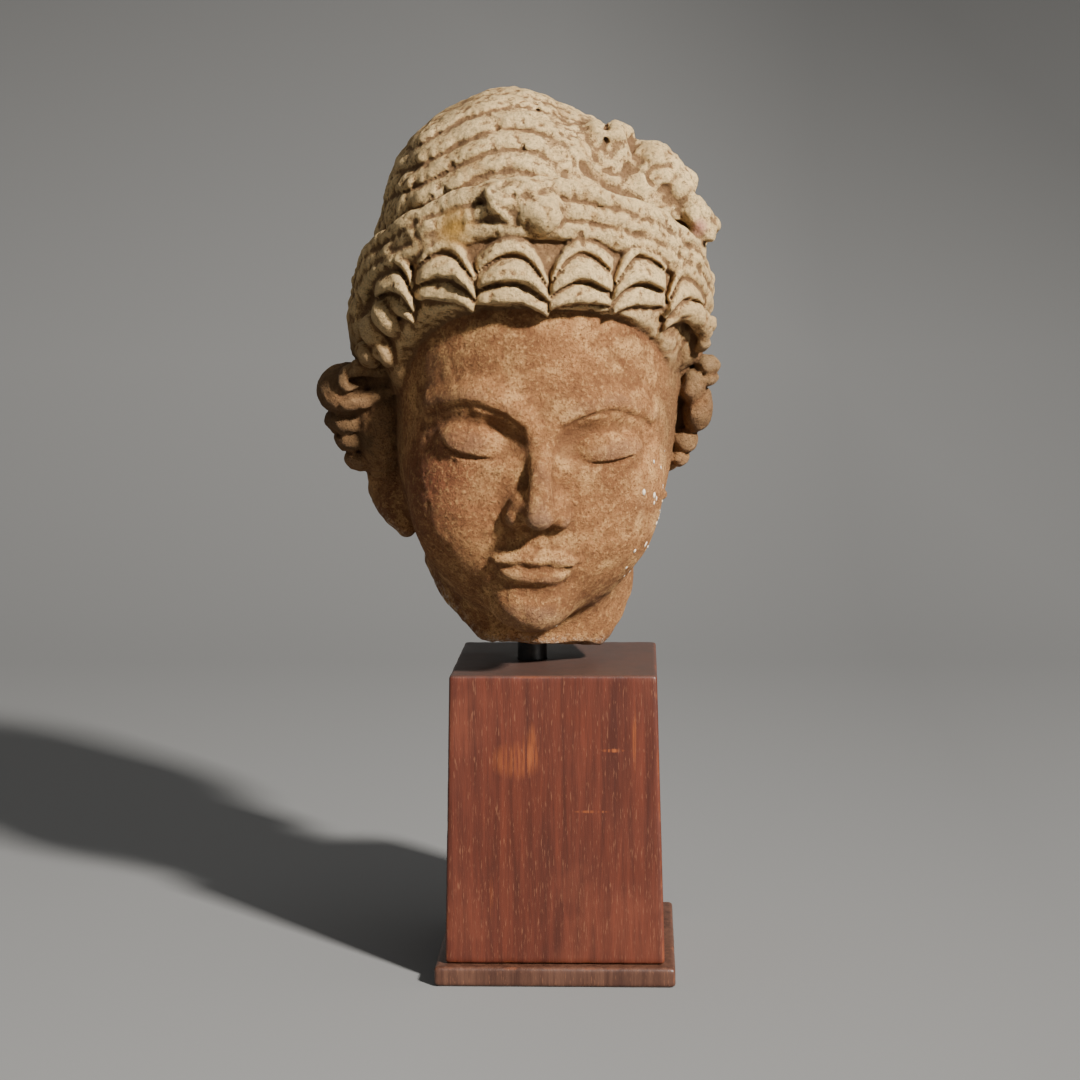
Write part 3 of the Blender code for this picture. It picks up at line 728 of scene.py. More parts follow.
def hollows(mesh, rounds):
    """How far each point lies below its smoothed surroundings, in millimetres."""
    count = len(mesh.vertices)
    places = places_of(mesh)
    normals = np.empty(count * 3)
    mesh.vertices.foreach_get("normal", normals)
    edges = edges_of(mesh)
    counts = np.maximum(np.bincount(edges.ravel(), minlength=count), 1)
    smooth = places.copy()
    for _ in range(rounds):
        smooth = 0.5 * smooth + 0.5 * neighbour_mean(smooth, edges, counts)
    return 1000 * np.sum((smooth - places) * normals.reshape(-1, 3), axis=1)


def finish_attributes(mesh):
    """What the clay's finish follows: where the hair is, and the hollows and ridges, which get earth,
    painted shade and painted highlight.
    """
    p = to_head(places_of(mesh))
    gap = face(p) - hair(p)
    set_attribute(mesh, "slip", np.clip(0.5 + gap / 0.3, 0, 1))
    below = 1.85 - 0.22 * np.abs(p[:, 1] - 0.3)
    broken = np.clip(1 - np.abs(p[:, 2] + below) / 0.45, 0, 1)
    torn = np.clip(1 - np.abs(p[:, 0] + p[:, 2] + 3.0) / 0.6, 0, 1)
    set_attribute(mesh, "broken", np.maximum(broken, torn))
    set_attribute(mesh, "groove", hollows(mesh, 6))
    set_attribute(mesh, "shelter", hollows(mesh, 40))
    lime_mask(mesh)


def new_material(name):
    made = bpy.data.materials.new(name)
    made.use_nodes = True
    return made, made.node_tree, made.node_tree.nodes["Principled BSDF"]


class Painter:
    """Adds nodes to a tree, in a maker's words."""

    def __init__(self, tree):
        self.tree = tree

    def feed(self, socket, value):
        """Links a socket to another, or sets its value."""
        if isinstance(value, bpy.types.NodeSocket):
            self.tree.links.new(value, socket)
        else:
            socket.default_value = value

    def node(self, kind, inputs=(), **settings):
        made = self.tree.nodes.new(kind)
        for key, value in settings.items():
            setattr(made, key, value)
        for key, value in dict(inputs).items():
            self.feed(made.inputs[key], value)
        return made

    def place(self, scale=(1, 1, 1)):
        vector = self.node("ShaderNodeTexCoord").outputs["Object"]
        return self.node("ShaderNodeMapping", {"Vector": vector, "Scale": scale}).outputs[0]

    def noise(self, vector, scale, detail=4.0, roughness=0.6, distortion=0.0):
        inputs = {"Vector": vector, "Scale": scale, "Detail": detail}
        inputs.update({"Roughness": roughness, "Distortion": distortion})
        return self.node("ShaderNodeTexNoise", inputs).outputs["Fac"]

    def value(self, name):
        return self.node("ShaderNodeAttribute", attribute_name=name).outputs["Fac"]

    def spread(self, value, low, high, to_low=0.0, to_high=1.0):
        """A value stretched between two levels and kept inside them."""
        inputs = {"Value": value, "From Min": low, "From Max": high}
        inputs.update({"To Min": to_low, "To Max": to_high})
        return self.node("ShaderNodeMapRange", inputs).outputs["Result"]

    def maths(self, kind, first, second):
        return self.node("ShaderNodeMath", {0: first, 1: second}, operation=kind).outputs[0]

    def times(self, first, second):
        return self.maths("MULTIPLY", first, second)

    def blend(self, share, first, second):
        """The first colour with a share of the second over it."""
        made = self.node("ShaderNodeMix", data_type="RGBA")
        self.feed(made.inputs[0], share)
        for socket, colour in ((made.inputs[6], first), (made.inputs[7], second)):
            linked = isinstance(colour, bpy.types.NodeSocket)
            self.feed(socket, colour if linked else (*colour[:3], 1.0))
        return made.outputs[2]

    def layer(self, under, colour, value, low, high, most=1.0):
        """Lays a colour on as a value passes from one level to the other."""
        return self.blend(self.spread(value, low, high, 0.0, most), under, colour)

    def bump(self, height, strength, distance, under=None):
        inputs = {"Height": height, "Strength": strength, "Distance": distance}
        if under is not None:
            inputs["Normal"] = under
        return self.node("ShaderNodeBump", inputs).outputs["Normal"]


def spot(painter, centre, reach, soft=0.5):
    """A patch around a point of the head, given in angulas: 1 inside, 0 outside."""
    here = to_world(np.array(centre, float))
    coordinates = painter.node("ShaderNodeTexCoord").outputs["Object"]
    far = painter.node(
        "ShaderNodeVectorMath", {0: coordinates, 1: tuple(here)}, operation="DISTANCE"
    ).outputs["Value"]
    return painter.spread(far, reach * ANGULA, reach * soft * ANGULA)


def clay_material(look):
    """Orange-brown gritty clay, with a cream slip on the hair, earth and painted shade in its grooves,
    and painted highlight on the hair's ridges.
    """
    made, tree, shader = new_material("fired_clay")
    paint = Painter(tree)
    here = paint.place()
    broad = paint.noise(here, 22.0, 3.0)
    mottle = paint.noise(here, 90.0, 5.0)
    grit = paint.noise(here, 900.0, 3.0, 0.7)
    speck = paint.noise(here, 520.0, 5.0, 0.75)
    slip = paint.value("slip")
    groove = paint.value("groove")
    shelter = paint.value("shelter")

    clay = paint.layer(look.clay_colour, look.dark_clay_and_crease_shade, broad, 0.35, 0.65)
    clay = paint.layer(clay, look.clay_pale, mottle, 0.5, 0.66, 0.7)
    clay = paint.layer(clay, look.dark_clay_and_crease_shade, mottle, 0.48, 0.34, 0.55)
    # A redder patch on the viewer's left cheek, darkened further as painted shade where the cheek turns
    # from the light.
    clay = paint.blend(spot(paint, (-3.6, -4.6, 5.4), 3.2, 0.2), clay, look.red_clay_and_painted_shade)
    clay = paint.layer(clay, look.dark_clay_and_crease_shade, grit, 0.51, 0.62, 0.85)
    clay = paint.layer(clay, look.clay_pale, speck, 0.52, 0.68, 0.6)
    # Painted shade: darker clay in the fine creases.
    clay = paint.layer(clay, look.dark_clay_and_crease_shade, groove, 0.01, 0.12, 0.6)
    # Earth and painted shade in the broad hollows of the clay.
    clay = paint.layer(clay, look.earth_and_shade_colour, shelter, 0.5, 3.0, 0.45)
    clay = paint.layer(clay, look.ash_colour, shelter, -0.8, -2.2, 0.35)

    pale = paint.layer(look.slip_colour, look.slip_warm, broad, 0.38, 0.62)
    pale = paint.layer(pale, look.slip_warm, mottle, 0.46, 0.64, 0.75)
    pale = paint.layer(pale, look.earth_and_shade_colour, speck, 0.5, 0.63, 0.9)
    pale = paint.layer(pale, look.earth_dark, grit, 0.52, 0.63, 0.8)
    # Earth and painted shade in the grooves and hollows of the hair.
    pale = paint.layer(pale, look.earth_and_shade_colour, groove, 0.0, 0.14, 0.8)
    pale = paint.layer(pale, look.earth_and_shade_colour, shelter, 0.1, 1.5, 0.85)
    # Painted highlight: brighter slip on the ridges of the hair.
    pale = paint.layer(pale, look.slip_painted_highlight, groove, -0.02, -0.2, 0.5)
    pale = paint.blend(spot(paint, (-3.4, -4.9, 14.7), 0.9, 0.2), pale, look.ochre_colour)
    pale = paint.blend(spot(paint, (5.6, -2.6, 15.0), 0.4, 0.2), pale, look.pink_colour)

    worn = paint.maths("ADD", slip, paint.spread(mottle, 0.3, 0.7, -0.22, 0.22))
    cover = paint.spread(worn, 0.42, 0.62)
    low = paint.node("ShaderNodeSeparateXYZ", {0: here}).outputs["Z"]
    level = to_world(np.array((0.0, -2.0, 9.0)))[2]
    fading = paint.spread(low, level - 0.01, level + 0.035, 0.12, 1.0)
    cover = paint.times(cover, fading)
    colour = paint.blend(cover, clay, pale)
    uneven = paint.spread(mottle, 0.36, 0.6, 0.45, 1.0)
    stains = (((-7.0, -0.6, 7.4), look.bun_stain), ((6.0, -1.2, 8.4), look.curl_stain))
    for centre, strength in stains:
        stain = paint.times(spot(paint, centre, 3.4), strength)
        colour = paint.blend(paint.times(stain, uneven), colour, look.stain_colour)
    scar = paint.times(paint.value("broken"), paint.spread(speck, 0.47, 0.62, 0.0, 0.75))
    colour = paint.blend(scar, colour, look.plaster_colour)
    tree.links.new(colour, shader.inputs["Base Color"])

    shader.inputs["Roughness"].default_value = 0.93
    shader.inputs["Specular IOR Level"].default_value = 0.25
    grain = paint.noise(here, 2200.0, 2.0, 0.6)
    normal = paint.bump(grain, 0.8, 0.0006)
    normal = paint.bump(grit, 0.9, 0.002, normal)
    normal = paint.bump(speck, 0.8, 0.003, normal)
    tree.links.new(normal, shader.inputs["Normal"])
    return made


def make_clay_head(look):
    step = look.carving_step * 1.0 / ANGULA
    mesh = surface_of(dressed_form, HEAD_LOW, HEAD_HIGH, step)
    mesh = smoothed(mesh)
    mesh = thinned(mesh, look.head_triangles)
    finish_attributes(mesh)
    mesh.shade_smooth()
    return add_piece("clay_head", mesh, clay_material(look), "head")


# Rubs and scratches on the block's front: centre, half width and height, strength
BLOCK_MARKS = (
    ((-0.0145, 0.0905), (0.0105, 0.0075), 0.5),
    ((-0.0090, 0.0960), (0.0035, 0.0100), 0.5),
    ((0.0235, 0.0945), (0.0045, 0.0008), 0.9),
    ((0.0150, 0.0700), (0.0070, 0.0006), 0.7),
    ((0.0320, 0.1000), (0.0008, 0.0150), 0.6),
    ((-0.0250, 0.0350), (0.0008, 0.0100), 0.4),
)


# A mark fades in between these depths, so that it stays on the front
MARK_STARTS = -0.030
MARK_FULL = -0.036


def wood_mark(painter, centre, half):
    """A soft-edged mark on the front of the block: 1 inside, 0 outside."""
    x, z = centre
    coordinates = painter.node("ShaderNodeTexCoord").outputs["Object"]
    inputs = {"Vector": coordinates, "Location": (-x / half[0], 0.0, -z / half[1])}
    inputs["Scale"] = (1 / half[0], 0.001, 1 / half[1])
    scaled = painter.node("ShaderNodeMapping", inputs).outputs[0]
    far = painter.node("ShaderNodeVectorMath", {0: scaled}, operation="LENGTH").outputs["Value"]
    depth = painter.node("ShaderNodeSeparateXYZ", {0: coordinates}).outputs["Y"]
    front = painter.spread(depth, MARK_STARTS, MARK_FULL)
    return painter.times(painter.spread(far, 1.1, 0.5), front)


def wood_material(name, look, dark, red, glow, marks=(), grey_top_level=None):
    """Stained and waxed wood with straight upright grain and short open pores."""
    made, tree, shader = new_material(name)
    paint = Painter(tree)
    here = paint.place()
    along = paint.place((1.0, 1.0, 0.05))
    pores_place = paint.place((1.0, 1.0, 0.09))
    figure = paint.noise(along, 280.0, 6.0, 0.65, 0.3)
    streak = paint.noise(along, 900.0, 3.0, 0.6)
    pores = paint.noise(pores_place, 2400.0, 2.0, 0.5)
    cloud = paint.noise(here, 18.0, 4.0)
    colour = paint.layer(dark, red, figure, 0.35, 0.68)
    colour = paint.layer(colour, glow, cloud, 0.52, 0.72, 0.55)
    colour = paint.layer(colour, dark, streak, 0.5, 0.72, 0.45)
    colour = paint.layer(colour, look.wood_pore, pores, 0.62, 0.7, 0.4)
    # Bare wood along the arrises: rubbed-off stain and a painted highlight.
    colour = paint.layer(colour, look.bare_wood_and_highlight, paint.value("arris_wear_and_highlight"), 0.45, 0.95, 0.6)
    for centre, half, share in marks:
        mark = paint.times(wood_mark(paint, centre, half), paint.spread(streak, 0.42, 0.6, 0.0, share))
        colour = paint.blend(mark, colour, look.bare_wood_and_highlight)
    # The block's top face gets a greyer colour.
    if grey_top_level:
        level = paint.node("ShaderNodeSeparateXYZ", {0: here}).outputs["Z"]
        grey_top = paint.spread(level, grey_top_level - 0.001, grey_top_level, 0.0, 0.7)
        colour = paint.blend(grey_top, colour, look.grey_top_wood)
    tree.links.new(colour, shader.inputs["Base Color"])
    rough = paint.spread(cloud, 0.3, 0.7, 0.36, 0.52)
    tree.links.new(rough, shader.inputs["Roughness"])
    shader.inputs["Specular IOR Level"].default_value = 0.45
    normal = paint.bump(pores, 0.25, 0.0003)
    normal = paint.bump(streak, 0.12, 0.0003, normal)
    tree.links.new(normal, shader.inputs["Normal"])
    return made


def lime_mask(mesh):
    """Where bits of lime cling: the viewer's right cheek and jaw, thinly elsewhere."""
    p = to_head(places_of(mesh))
    share = np.zeros(len(p))
    for centre, reach, weight in LIME_PLACES:
        far = np.linalg.norm((p - np.array(centre)) / np.array(reach), axis=1)
        share = np.maximum(share, weight * np.clip(1.6 - far, 0, 1))
    set_attribute(mesh, "lime", share * np.clip(0.6 + noise(p, 0.7, 41), 0, 1))


# Centre and reach in angulas, and how thickly the lime lies there
LIME_PLACES = (
    ((4.4, -3.6, 3.3), (0.9, 2.0, 2.2), 1.0),
    ((3.4, -4.9, 4.6), (1.0, 1.0, 0.9), 0.25),
    ((-4.6, -2.4, 1.2), (0.9, 2.0, 2.0), 0.35),
    ((1.0, -4.8, -0.2), (2.2, 1.4, 0.8), 0.4),
)


def speck_tree(seed):
    """Small lumps scattered over a surface by its lime attribute."""
    tree = bpy.data.node_groups.new("specks", "GeometryNodeTree")
    outside = tree.interface
    outside.new_socket("Surface", in_out="INPUT", socket_type="NodeSocketGeometry")
    sockets = {}
    for name, kind in (
        ("Density", "NodeSocketFloat"),
        ("Smallest", "NodeSocketFloat"),
        ("Largest", "NodeSocketFloat"),
        ("Material", "NodeSocketMaterial"),
    ):
        sockets[name] = outside.new_socket(name, in_out="INPUT", socket_type=kind).identifier
    outside.new_socket("Specks", in_out="OUTPUT", socket_type="NodeSocketGeometry")

    paint = Painter(tree)
    given = paint.node("NodeGroupInput").outputs
    lime = paint.node("GeometryNodeInputNamedAttribute", {"Name": "lime"}, data_type="FLOAT")
    often = paint.times(given["Density"], lime.outputs["Attribute"])
    scatter = paint.node(
        "GeometryNodeDistributePointsOnFaces",
        {"Mesh": given["Surface"], "Density": often, "Seed": seed},
    ).outputs
    lump = paint.node("GeometryNodeMeshIcoSphere", {"Radius": 1.0, "Subdivisions": 1})
    size = paint.node(
        "FunctionNodeRandomValue",
        {2: given["Smallest"], 3: given["Largest"], "Seed": seed + 1},
        data_type="FLOAT",
    )
    flat = paint.node(
        "FunctionNodeRandomValue",
        {0: (0.5, 0.6, 0.25), 1: (1.3, 1.5, 0.5), "Seed": seed + 2},
        data_type="FLOAT_VECTOR",
    )
    scale = paint.node(
        "ShaderNodeVectorMath", {0: flat.outputs[0], "Scale": size.outputs[1]}, operation="SCALE"
    )
    inputs = {"Points": scatter["Points"], "Rotation": scatter["Rotation"]}
    inputs.update({"Instance": lump.outputs["Mesh"], "Scale": scale.outputs[0]})
    placed = paint.node("GeometryNodeInstanceOnPoints", inputs).outputs["Instances"]
    real = paint.node("GeometryNodeRealizeInstances", {"Geometry": placed}).outputs["Geometry"]
    inputs = {"Geometry": real, "Material": given["Material"]}
    painted = paint.node("GeometryNodeSetMaterial", inputs).outputs["Geometry"]
    paint.node("NodeGroupOutput", {"Specks": painted})
    return tree, sockets


def lime_material(look):
    made, tree, shader = new_material("lime")
    paint = Painter(tree)
    shade = paint.noise(paint.place(), 800.0, 2.0)
    colour = paint.layer(look.plaster_colour, look.lime_colour, shade, 0.35, 0.65)
    tree.links.new(colour, shader.inputs["Base Color"])
    shader.inputs["Roughness"].default_value = 0.9
    return made


def make_specks(head, look):
    """Bits of lime mortar that cling to the clay."""
    tree, sockets = speck_tree(look.speck_seed)
    made = lime_material(look)

    def add_modifier(helper):
        scatter = helper.modifiers.new("specks", "NODES")
        scatter.node_group = tree
        scatter[sockets["Density"]] = look.speck_density
        scatter[sockets["Smallest"]] = look.speck_smallest
        scatter[sockets["Largest"]] = look.speck_largest
        scatter[sockets["Material"]] = made

    mesh = evaluated_copy(head.data.copy(), add_modifier)
    mesh.shade_smooth()
    return add_piece("lime_specks", mesh, made, None)


def square_ring(side, z, corner, steps, corner_steps):
    """Points of a square with rounded corners, counter-clockwise from above."""
    ring = []
    reach = side / 2 - corner
    for quarter in range(4):
        turn = Matrix.Rotation(math.radians(90 * quarter), 3, "Z")
        for i in range(steps):
            ring.append(turn @ Vector((side / 2, reach * (2 * i / steps - 1), z)))
        for i in range(corner_steps):
            angle = math.radians(90 * i / corner_steps)
            x = reach + corner * math.cos(angle)
            y = reach + corner * math.sin(angle)
            ring.append(turn @ Vector((x, y, z)))
    return ring


def box_rings(low, high, bottom, top, edge, levels):
    """Rings up a tapered square box, with rounded arrises above and below."""
    rings = []
    for inset in (0.3, 0.1, 0.04):
        rings.append((bottom - bottom * inset, low))
    for i in range(4):
        angle = math.radians(90 * i / 3)
        rings.append((bottom - 2 * edge * (1 - math.sin(angle)), low + edge * (1 - math.cos(angle))))
    for i in range(1, levels):
        share = i / levels
        rings.append((bottom + (top - bottom) * share, low + edge + (high - low - 2 * edge) * share))
    for i in range(4):
        angle = math.radians(90 * i / 3)
        rings.append((top - 2 * edge * (1 - math.cos(angle)), high - edge * (1 - math.sin(angle))))
    for inset in (0.04, 0.1, 0.3):
        rings.append((top - top * inset, high))
    return rings


def ringed_box(name, rings, edge, look):
    """A box closed over its rings, with fine divisions for its dents."""
    steps = look.arris_steps
    shape = bmesh.new()
    made = []
    for side, z in rings:
        points = square_ring(side, z, min(edge, 0.2 * side), steps, 3)
        made.append([shape.verts.new(point) for point in points])
    for low, high in zip(made[:-1], made[1:]):
        for i in range(len(low)):
            j = (i + 1) % len(low)
            shape.faces.new((low[i], low[j], high[j], high[i]))
    shape.faces.new(list(reversed(made[0])))
    shape.faces.new(made[-1])
    mesh = bpy.data.meshes.new(name)
    shape.to_mesh(mesh)
    shape.free()
    return mesh


def wear_and_highlight_arrises(mesh, low, high, bottom, top, depth):
    """Dents the arrises a little and marks where the stain has rubbed off, a mark that also serves as a
    painted highlight along them.
    """
    p = places_of(mesh)
    half = 0.5 * (bottom + (top - bottom) * np.clip((p[:, 2] - low) / (high - low), 0, 1))
    inside = np.stack([half - np.abs(p[:, 0]), half - np.abs(p[:, 1])], axis=1)
    inside = np.column_stack([inside, np.minimum(p[:, 2] - low, high - p[:, 2])])
    inside = np.sort(np.maximum(inside, 0), axis=1)
    far = inside[:, 1]
    rough = 0.5 + 0.5 * noise(p, 0.006, 31) + 0.3 * noise(p, 0.0017, 32)
    near = np.exp(-far / 0.0016)
    dent = depth * near * np.clip(rough - 0.35, 0, 1)
    centre = np.array([0.0, 0.0, 0.5 * (low + high)])
    toward = centre - p
    toward /= np.linalg.norm(toward, axis=1)[:, None]
    p = p + toward * dent[:, None]
    mesh.vertices.foreach_set("co", p.ravel())
    # The arris mark: rubbed stain and painted highlight.
    set_attribute(mesh, "arris_wear_and_highlight", np.clip(np.exp(-far / 0.0011) * (0.35 + rough), 0, 1))


def round_bar(name, radius, low, high, segments):
    """An upright round bar at the rod's place."""
    mesh = bpy.data.meshes.new(name)
    bar = bmesh.new()
    bmesh.ops.create_cone(
        bar, cap_ends=True, segments=segments, radius1=radius, radius2=radius, depth=high - low
    )
    bmesh.ops.translate(bar, verts=bar.verts, vec=(ROD_SIDE, 0, 0.5 * (low + high)))
    bar.to_mesh(mesh)
    bar.free()
    return mesh


def bored(mesh, low, high):
    """The mesh with the rod's bore cut into its top."""
    bore = round_bar("bore", ROD_DIAMETER / 2 + ROD_CLEARANCE, low, high, 32)
    cutter = bpy.data.objects.new("bore", bore)

    def add_modifier(helper):
        cut_out = helper.modifiers.new("bore", "BOOLEAN")
        cut_out.operation = "DIFFERENCE"
        cut_out.solver = "EXACT"
        cut_out.object = cutter

    made = evaluated_copy(mesh, add_modifier)
    bpy.data.objects.remove(cutter)
    bpy.data.meshes.remove(bore)
    return made


def add_piece(name, mesh, made, node):
    mesh.materials.clear()
    mesh.materials.append(made)
    piece = bpy.data.objects.new(name, mesh)
    bpy.context.scene.collection.objects.link(piece)
    if node:
        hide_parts(node)
    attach(piece, "root")
    return piece


def make_wood_piece(node, bottom, top, edge, levels, look, made):
    low, high = [corner.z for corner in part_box(node)]
    mesh = ringed_box(node, box_rings(low, high, bottom, top, edge, levels), edge, look)
    wear_and_highlight_arrises(mesh, low, high, bottom, top, look.dent_depth)
    if node == "wood_block":
        mesh = bored(mesh, high - ROD_IN_BLOCK, high + ROD_IN_BLOCK)
    mesh.shade_smooth()
    mesh.set_sharp_from_angle(angle=math.radians(50))
    return add_piece("dressed_" + node, mesh, made, node)


def make_rod(made):
    """The black rod, with finer facets than its solid."""
    low, high = [corner.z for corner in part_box("mounting_rod")]
    mesh = round_bar("rod", ROD_DIAMETER / 2, low, high, 64)
    mesh.shade_smooth()
    mesh.set_sharp_from_angle(angle=math.radians(50))
    return add_piece("dressed_rod", mesh, made, "mounting_rod")


def rod_material():
    made, tree, shader = new_material("rod_steel")
    paint = Painter(tree)
    shade = paint.noise(paint.place(), 260.0, 3.0)
    colour = paint.layer((0.008, 0.008, 0.008), (0.03, 0.026, 0.022), shade, 0.4, 0.7)
    tree.links.new(colour, shader.inputs["Base Color"])
    shader.inputs["Roughness"].default_value = 0.45
    shader.inputs["Metallic"].default_value = 0.4
    return made


def stage_material(look):
    """Grey paper with painted shade that darkens it to the right, above and toward the top right
    corner.
    """
    made, tree, shader = new_material("studio_paper")
    paint = Painter(tree)
    split = paint.node("ShaderNodeSeparateXYZ", {0: paint.place()})
    # Painted shade: the paper darkens to the right, higher up and toward the top right corner.
    aside = paint.spread(split.outputs["X"], -0.05, 0.22, 1.0, 0.76)
    above = paint.spread(split.outputs["Z"], 0.2, 0.6, 1.0, 0.64)
    corner = paint.maths("ADD", split.outputs["X"], split.outputs["Z"])
    corner = paint.spread(corner, 0.4, 0.9, 1.0, 0.66)
    share = paint.times(paint.times(aside, above), corner)
    colour = paint.blend(share, (0, 0, 0), look.paper_colour)
    tree.links.new(colour, shader.inputs["Base Color"])
    shader.inputs["Roughness"].default_value = 0.95
    return made


def make_sweep(look):
    """A plain floor that curves up into the backdrop."""
    mesh = bpy.data.meshes.new("studio_sweep")
    width = 8.0
    bend = 0.9
    back = 1.6
    profile = [(-2.2, 0.0), (back - bend, 0.0)]
    for i in range(1, 17):
        turn = math.radians(90 * i / 16)
        profile.append((back - bend + bend * math.sin(turn), bend - bend * math.cos(turn)))
    profile.append((back, 3.2))
    sheet = bmesh.new()
    rows = []
    for y, z in profile:
        rows.append([sheet.verts.new((x, y, z)) for x in (-width, width)])
    for low, high in zip(rows[:-1], rows[1:]):
        sheet.faces.new((low[0], low[1], high[1], high[0]))
    sheet.to_mesh(mesh)
    sheet.free()
    mesh.shade_smooth()
    mesh.materials.append(stage_material(look))
    piece = bpy.data.objects.new("studio_sweep", mesh)
    bpy.context.scene.collection.objects.link(piece)


def aim(thing, target):
    toward = Vector(target) - thing.location
    thing.rotation_euler = toward.to_track_quat("-Z", "Y").to_euler()


def make_light(name, place, target, power, size, colour=(1, 1, 1)):
    data = bpy.data.lights.new(name, "AREA")
    data.energy = power
    data.size = size
    data.color = colour
    lamp = bpy.data.objects.new(name, data)
    bpy.context.scene.collection.objects.link(lamp)
    lamp.location = place
    aim(lamp, target)


def make_camera():
    """The photo's viewpoint."""
    turn = math.radians(CAMERA_TURN)
    down = math.radians(CAMERA_DOWN)
    roll = math.radians(CAMERA_ROLL)
    ahead = Vector((-math.sin(turn), math.cos(turn), 0.0))
    forward = ahead * math.cos(down) - Vector((0.0, 0.0, math.sin(down)))
    level = Vector((math.cos(turn), math.sin(turn), 0.0))
    upright = level.cross(forward)
    right = level * math.cos(roll) + upright * math.sin(roll)
    up = right.cross(forward)
    axes = Matrix((right, up, -forward)).transposed()
    data = bpy.data.cameras.new("camera")
    data.sensor_width = SENSOR_WIDTH
    data.lens = SENSOR_WIDTH * LENS_PIXELS / FRAME_WIDTH
    camera = bpy.data.objects.new("camera", data)
    bpy.context.scene.collection.objects.link(camera)
    camera.matrix_world = Matrix.Translation(CAMERA_PLACE) @ axes.to_4x4()
    bpy.context.scene.camera = camera


def tint(name, what, default):
    return FloatVectorProperty(name=name, description=what, subtype="COLOR", default=default)


def length(name, what, default):
    return FloatProperty(name=name, description=what, default=default, unit="LENGTH")


class HeadLooks(bpy.types.PropertyGroup):
    carving_step: length("Carving step", "Finest spacing of the carved surface", 0.0009)
    head_triangles: IntProperty(
        name="Head triangles", description="Most triangles in the carved head", default=190000
    )
    clay_colour: tint("Clay", "The fired clay of the face", (0.52, 0.245, 0.092))
    # Dark clay, also laid in the creases as painted shade.
    dark_clay_and_crease_shade: tint("Dark clay", "Darker patches and grains", (0.2, 0.08, 0.03))
    clay_pale: tint("Pale clay", "Paler sandy patches", (0.74, 0.42, 0.165))
    # The redder cheek's colour, darkened to serve as painted shade on the cheek turned from the light.
    red_clay_and_painted_shade: tint("Red clay", "The redder cheek", (0.24, 0.08, 0.034))
    ash_colour: tint("Ash", "Greyish deposit on the ridges", (0.32, 0.22, 0.15))
    # Earth colour, also laid in grooves and hollows as painted shade.
    earth_and_shade_colour: tint("Earth", "Earth that lies in the grooves", (0.19, 0.1, 0.045))
    earth_dark: tint("Dark earth", "Dark pits", (0.08, 0.045, 0.02))
    slip_colour: tint("Slip", "Pale slip on the hair", (0.88, 0.61, 0.29))
    # Brighter slip laid on the ridges as a painted highlight.
    slip_painted_highlight: tint("Bright slip", "Slip rubbed clean on the ridges", (0.9, 0.66, 0.33))
    slip_warm: tint("Warm slip", "Slip worn to a warmer buff", (0.52, 0.32, 0.13))
    ochre_colour: tint("Ochre", "Ochre spots", (0.5, 0.27, 0.06))
    pink_colour: tint("Pink", "Trace of pink pigment", (0.6, 0.3, 0.2))
    stain_colour: tint("Stain", "Brown stain on the side curls", (0.12, 0.064, 0.027))
    bun_stain: FloatProperty(
        name="Bun stain", description="How stained the left bun is", default=0.9, subtype="FACTOR"
    )
    curl_stain: FloatProperty(
        name="Curl stain", description="How stained the right curls are", default=0.65, subtype="FACTOR"
    )
    speck_seed: IntProperty(name="Speck seed", description="Seed of the lime specks", default=7)
    speck_density: FloatProperty(
        name="Speck density", description="Specks on a square metre of clay", default=34000.0
    )
    speck_smallest: length("Smallest speck", "Half the width of the smallest", 0.0003)
    speck_largest: length("Largest speck", "Half the width of the largest", 0.0012)
    lime_colour: tint("Lime", "Bits of lime on the clay", (0.62, 0.5, 0.34))
    plaster_colour: tint("Plaster", "White bits along the break", (0.6, 0.52, 0.42))


class StandLooks(bpy.types.PropertyGroup):
    arris_steps: IntProperty(
        name="Arris steps", description="Divisions along each side of a wooden piece", default=64
    )
    dent_depth: length("Dent depth", "Deepest dent along an arris", 0.0006)
    block_dark: tint("Dark mahogany", "Dark grain of the block", (0.05, 0.011, 0.0055))
    block_red: tint("Red mahogany", "Red grain of the block", (0.11, 0.024, 0.011))
    block_glow: tint("Lit mahogany", "Warmer clouds in the block", (0.16, 0.04, 0.016))
    board_dark: tint("Dark board", "Dark grain of the base board", (0.04, 0.015, 0.009))
    board_brown: tint("Brown board", "Brown grain of the base board", (0.105, 0.045, 0.026))
    # Bare wood, for rubs and also painted along the arrises as a highlight.
    bare_wood_and_highlight: tint("Bare wood", "Orange wood where the stain has rubbed off", (0.27, 0.07, 0.018))
    # A greyer colour for the top face of the block.
    grey_top_wood: tint("Dusty wood", "The block's dull top", (0.06, 0.044, 0.036))
    wood_pore: tint("Pore", "Pale filler in the open pores", (0.24, 0.1, 0.05))
    paper_colour: tint("Paper", "The studio floor", (0.18, 0.18, 0.176))


class HEAD_OT_clay(bpy.types.Operator):
    """Carves the clay head around its solid"""

    bl_idname = "head.clay"
    bl_label = "Clay head"

    def execute(self, context):
        look = context.scene.head_looks
        make_specks(make_clay_head(look), look)
        return {"FINISHED"}


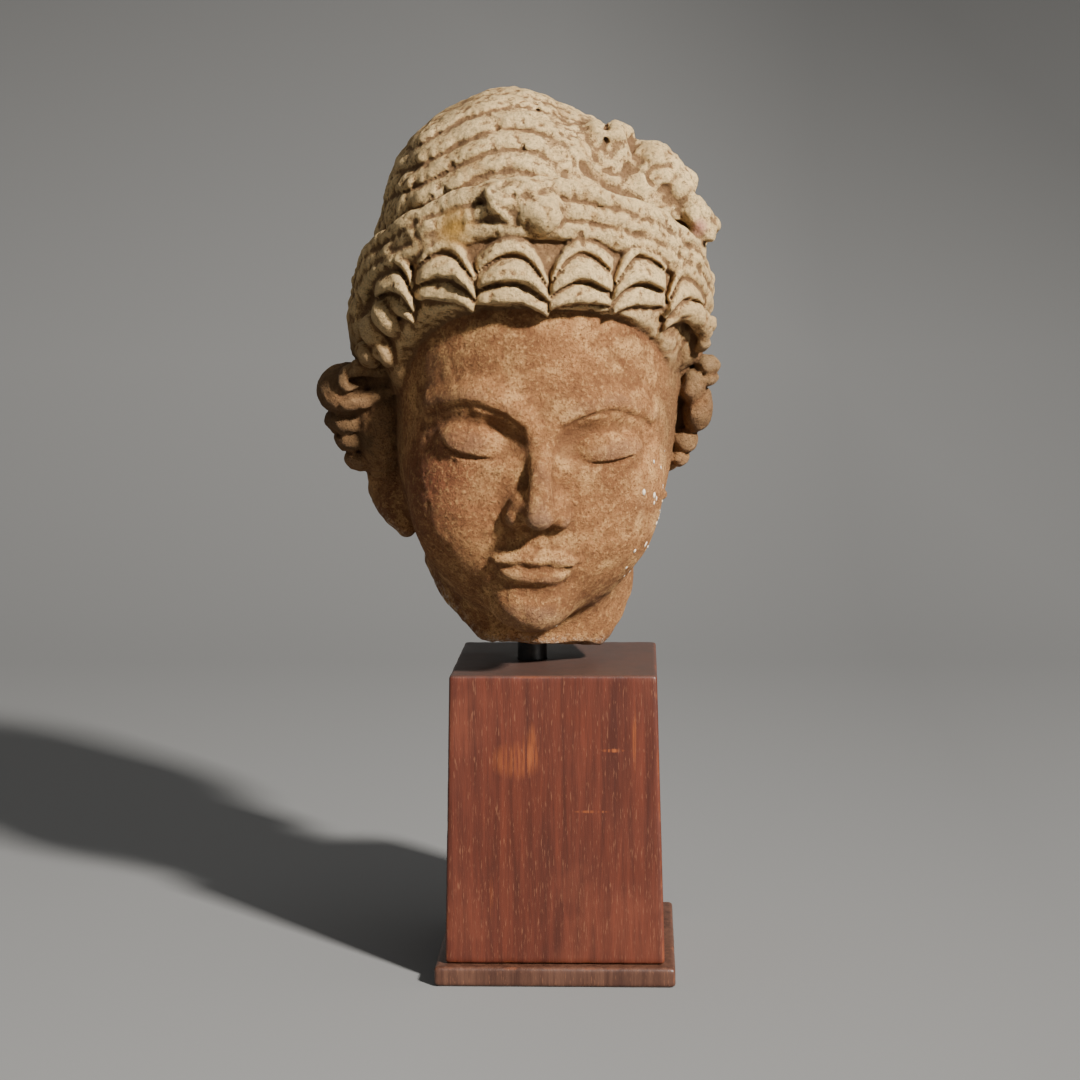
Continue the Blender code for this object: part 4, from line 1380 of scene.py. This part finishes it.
class HEAD_OT_stand(bpy.types.Operator):
    """Finishes the block, the base board and the rod"""

    bl_idname = "head.stand"
    bl_label = "Stand and rod"

    def execute(self, context):
        look = context.scene.stand_looks
        block = wood_material(
            "block_wood", look, look.block_dark, look.block_red, look.block_glow, BLOCK_MARKS, STAND_TOP
        )
        board = wood_material("board_wood", look, look.board_dark, look.board_brown, look.board_brown)
        make_wood_piece("wood_block", BLOCK_FOOT, BLOCK_TOP, 0.0012, 70, look, block)
        side = BLOCK_FOOT + 2 * BOARD_MARGIN
        make_wood_piece("base_board", side, side, 0.0015, 6, look, board)
        make_rod(rod_material())
        return {"FINISHED"}


class HEAD_OT_stage(bpy.types.Operator):
    """Lays the floor and sets the lights and the camera"""

    bl_idname = "head.stage"
    bl_label = "Stage"

    def execute(self, context):
        make_sweep(context.scene.stand_looks)
        middle = (0.0, 0.0, 0.2)
        make_light("key", (1.43, -1.5, 1.42), middle, 196.0, 0.2, (1.0, 0.97, 0.93))
        make_light("fill", (-1.1, -1.0, 0.5), middle, 1.2, 1.2)
        make_light("above", (0.1, 0.1, 1.6), middle, 4.0, 1.0)
        world = bpy.data.worlds.new("studio")
        world.use_nodes = True
        background = world.node_tree.nodes["Background"]
        background.inputs["Color"].default_value = (0.5, 0.5, 0.5, 1)
        background.inputs["Strength"].default_value = 0.42
        context.scene.world = world
        make_camera()
        return {"FINISHED"}


class HEAD_PT_panel(bpy.types.Panel):
    """Lists the steps that dress the head"""

    bl_idname = "HEAD_PT_panel"
    bl_label = "Bodhisattva head"
    bl_space_type = "VIEW_3D"
    bl_region_type = "UI"
    bl_category = "Head"

    def draw(self, context):
        for step in ("head.clay", "head.stand", "head.stage"):
            self.layout.operator(step)
        for group in (context.scene.head_looks, context.scene.stand_looks):
            for name in group.__annotations__:
                self.layout.prop(group, name)


CLASSES = (HeadLooks, StandLooks, HEAD_OT_clay, HEAD_OT_stand, HEAD_OT_stage, HEAD_PT_panel)


def register():
    for made in CLASSES:
        bpy.utils.register_class(made)
    bpy.types.Scene.head_looks = PointerProperty(type=HeadLooks)
    bpy.types.Scene.stand_looks = PointerProperty(type=StandLooks)


def unregister():
    del bpy.types.Scene.stand_looks
    del bpy.types.Scene.head_looks
    for made in reversed(CLASSES):
        bpy.utils.unregister_class(made)


def main():
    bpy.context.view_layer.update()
    register()
    bpy.ops.head.clay()
    bpy.ops.head.stand()
    bpy.ops.head.stage()
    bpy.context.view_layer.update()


if __name__ == "__main__":
    main()
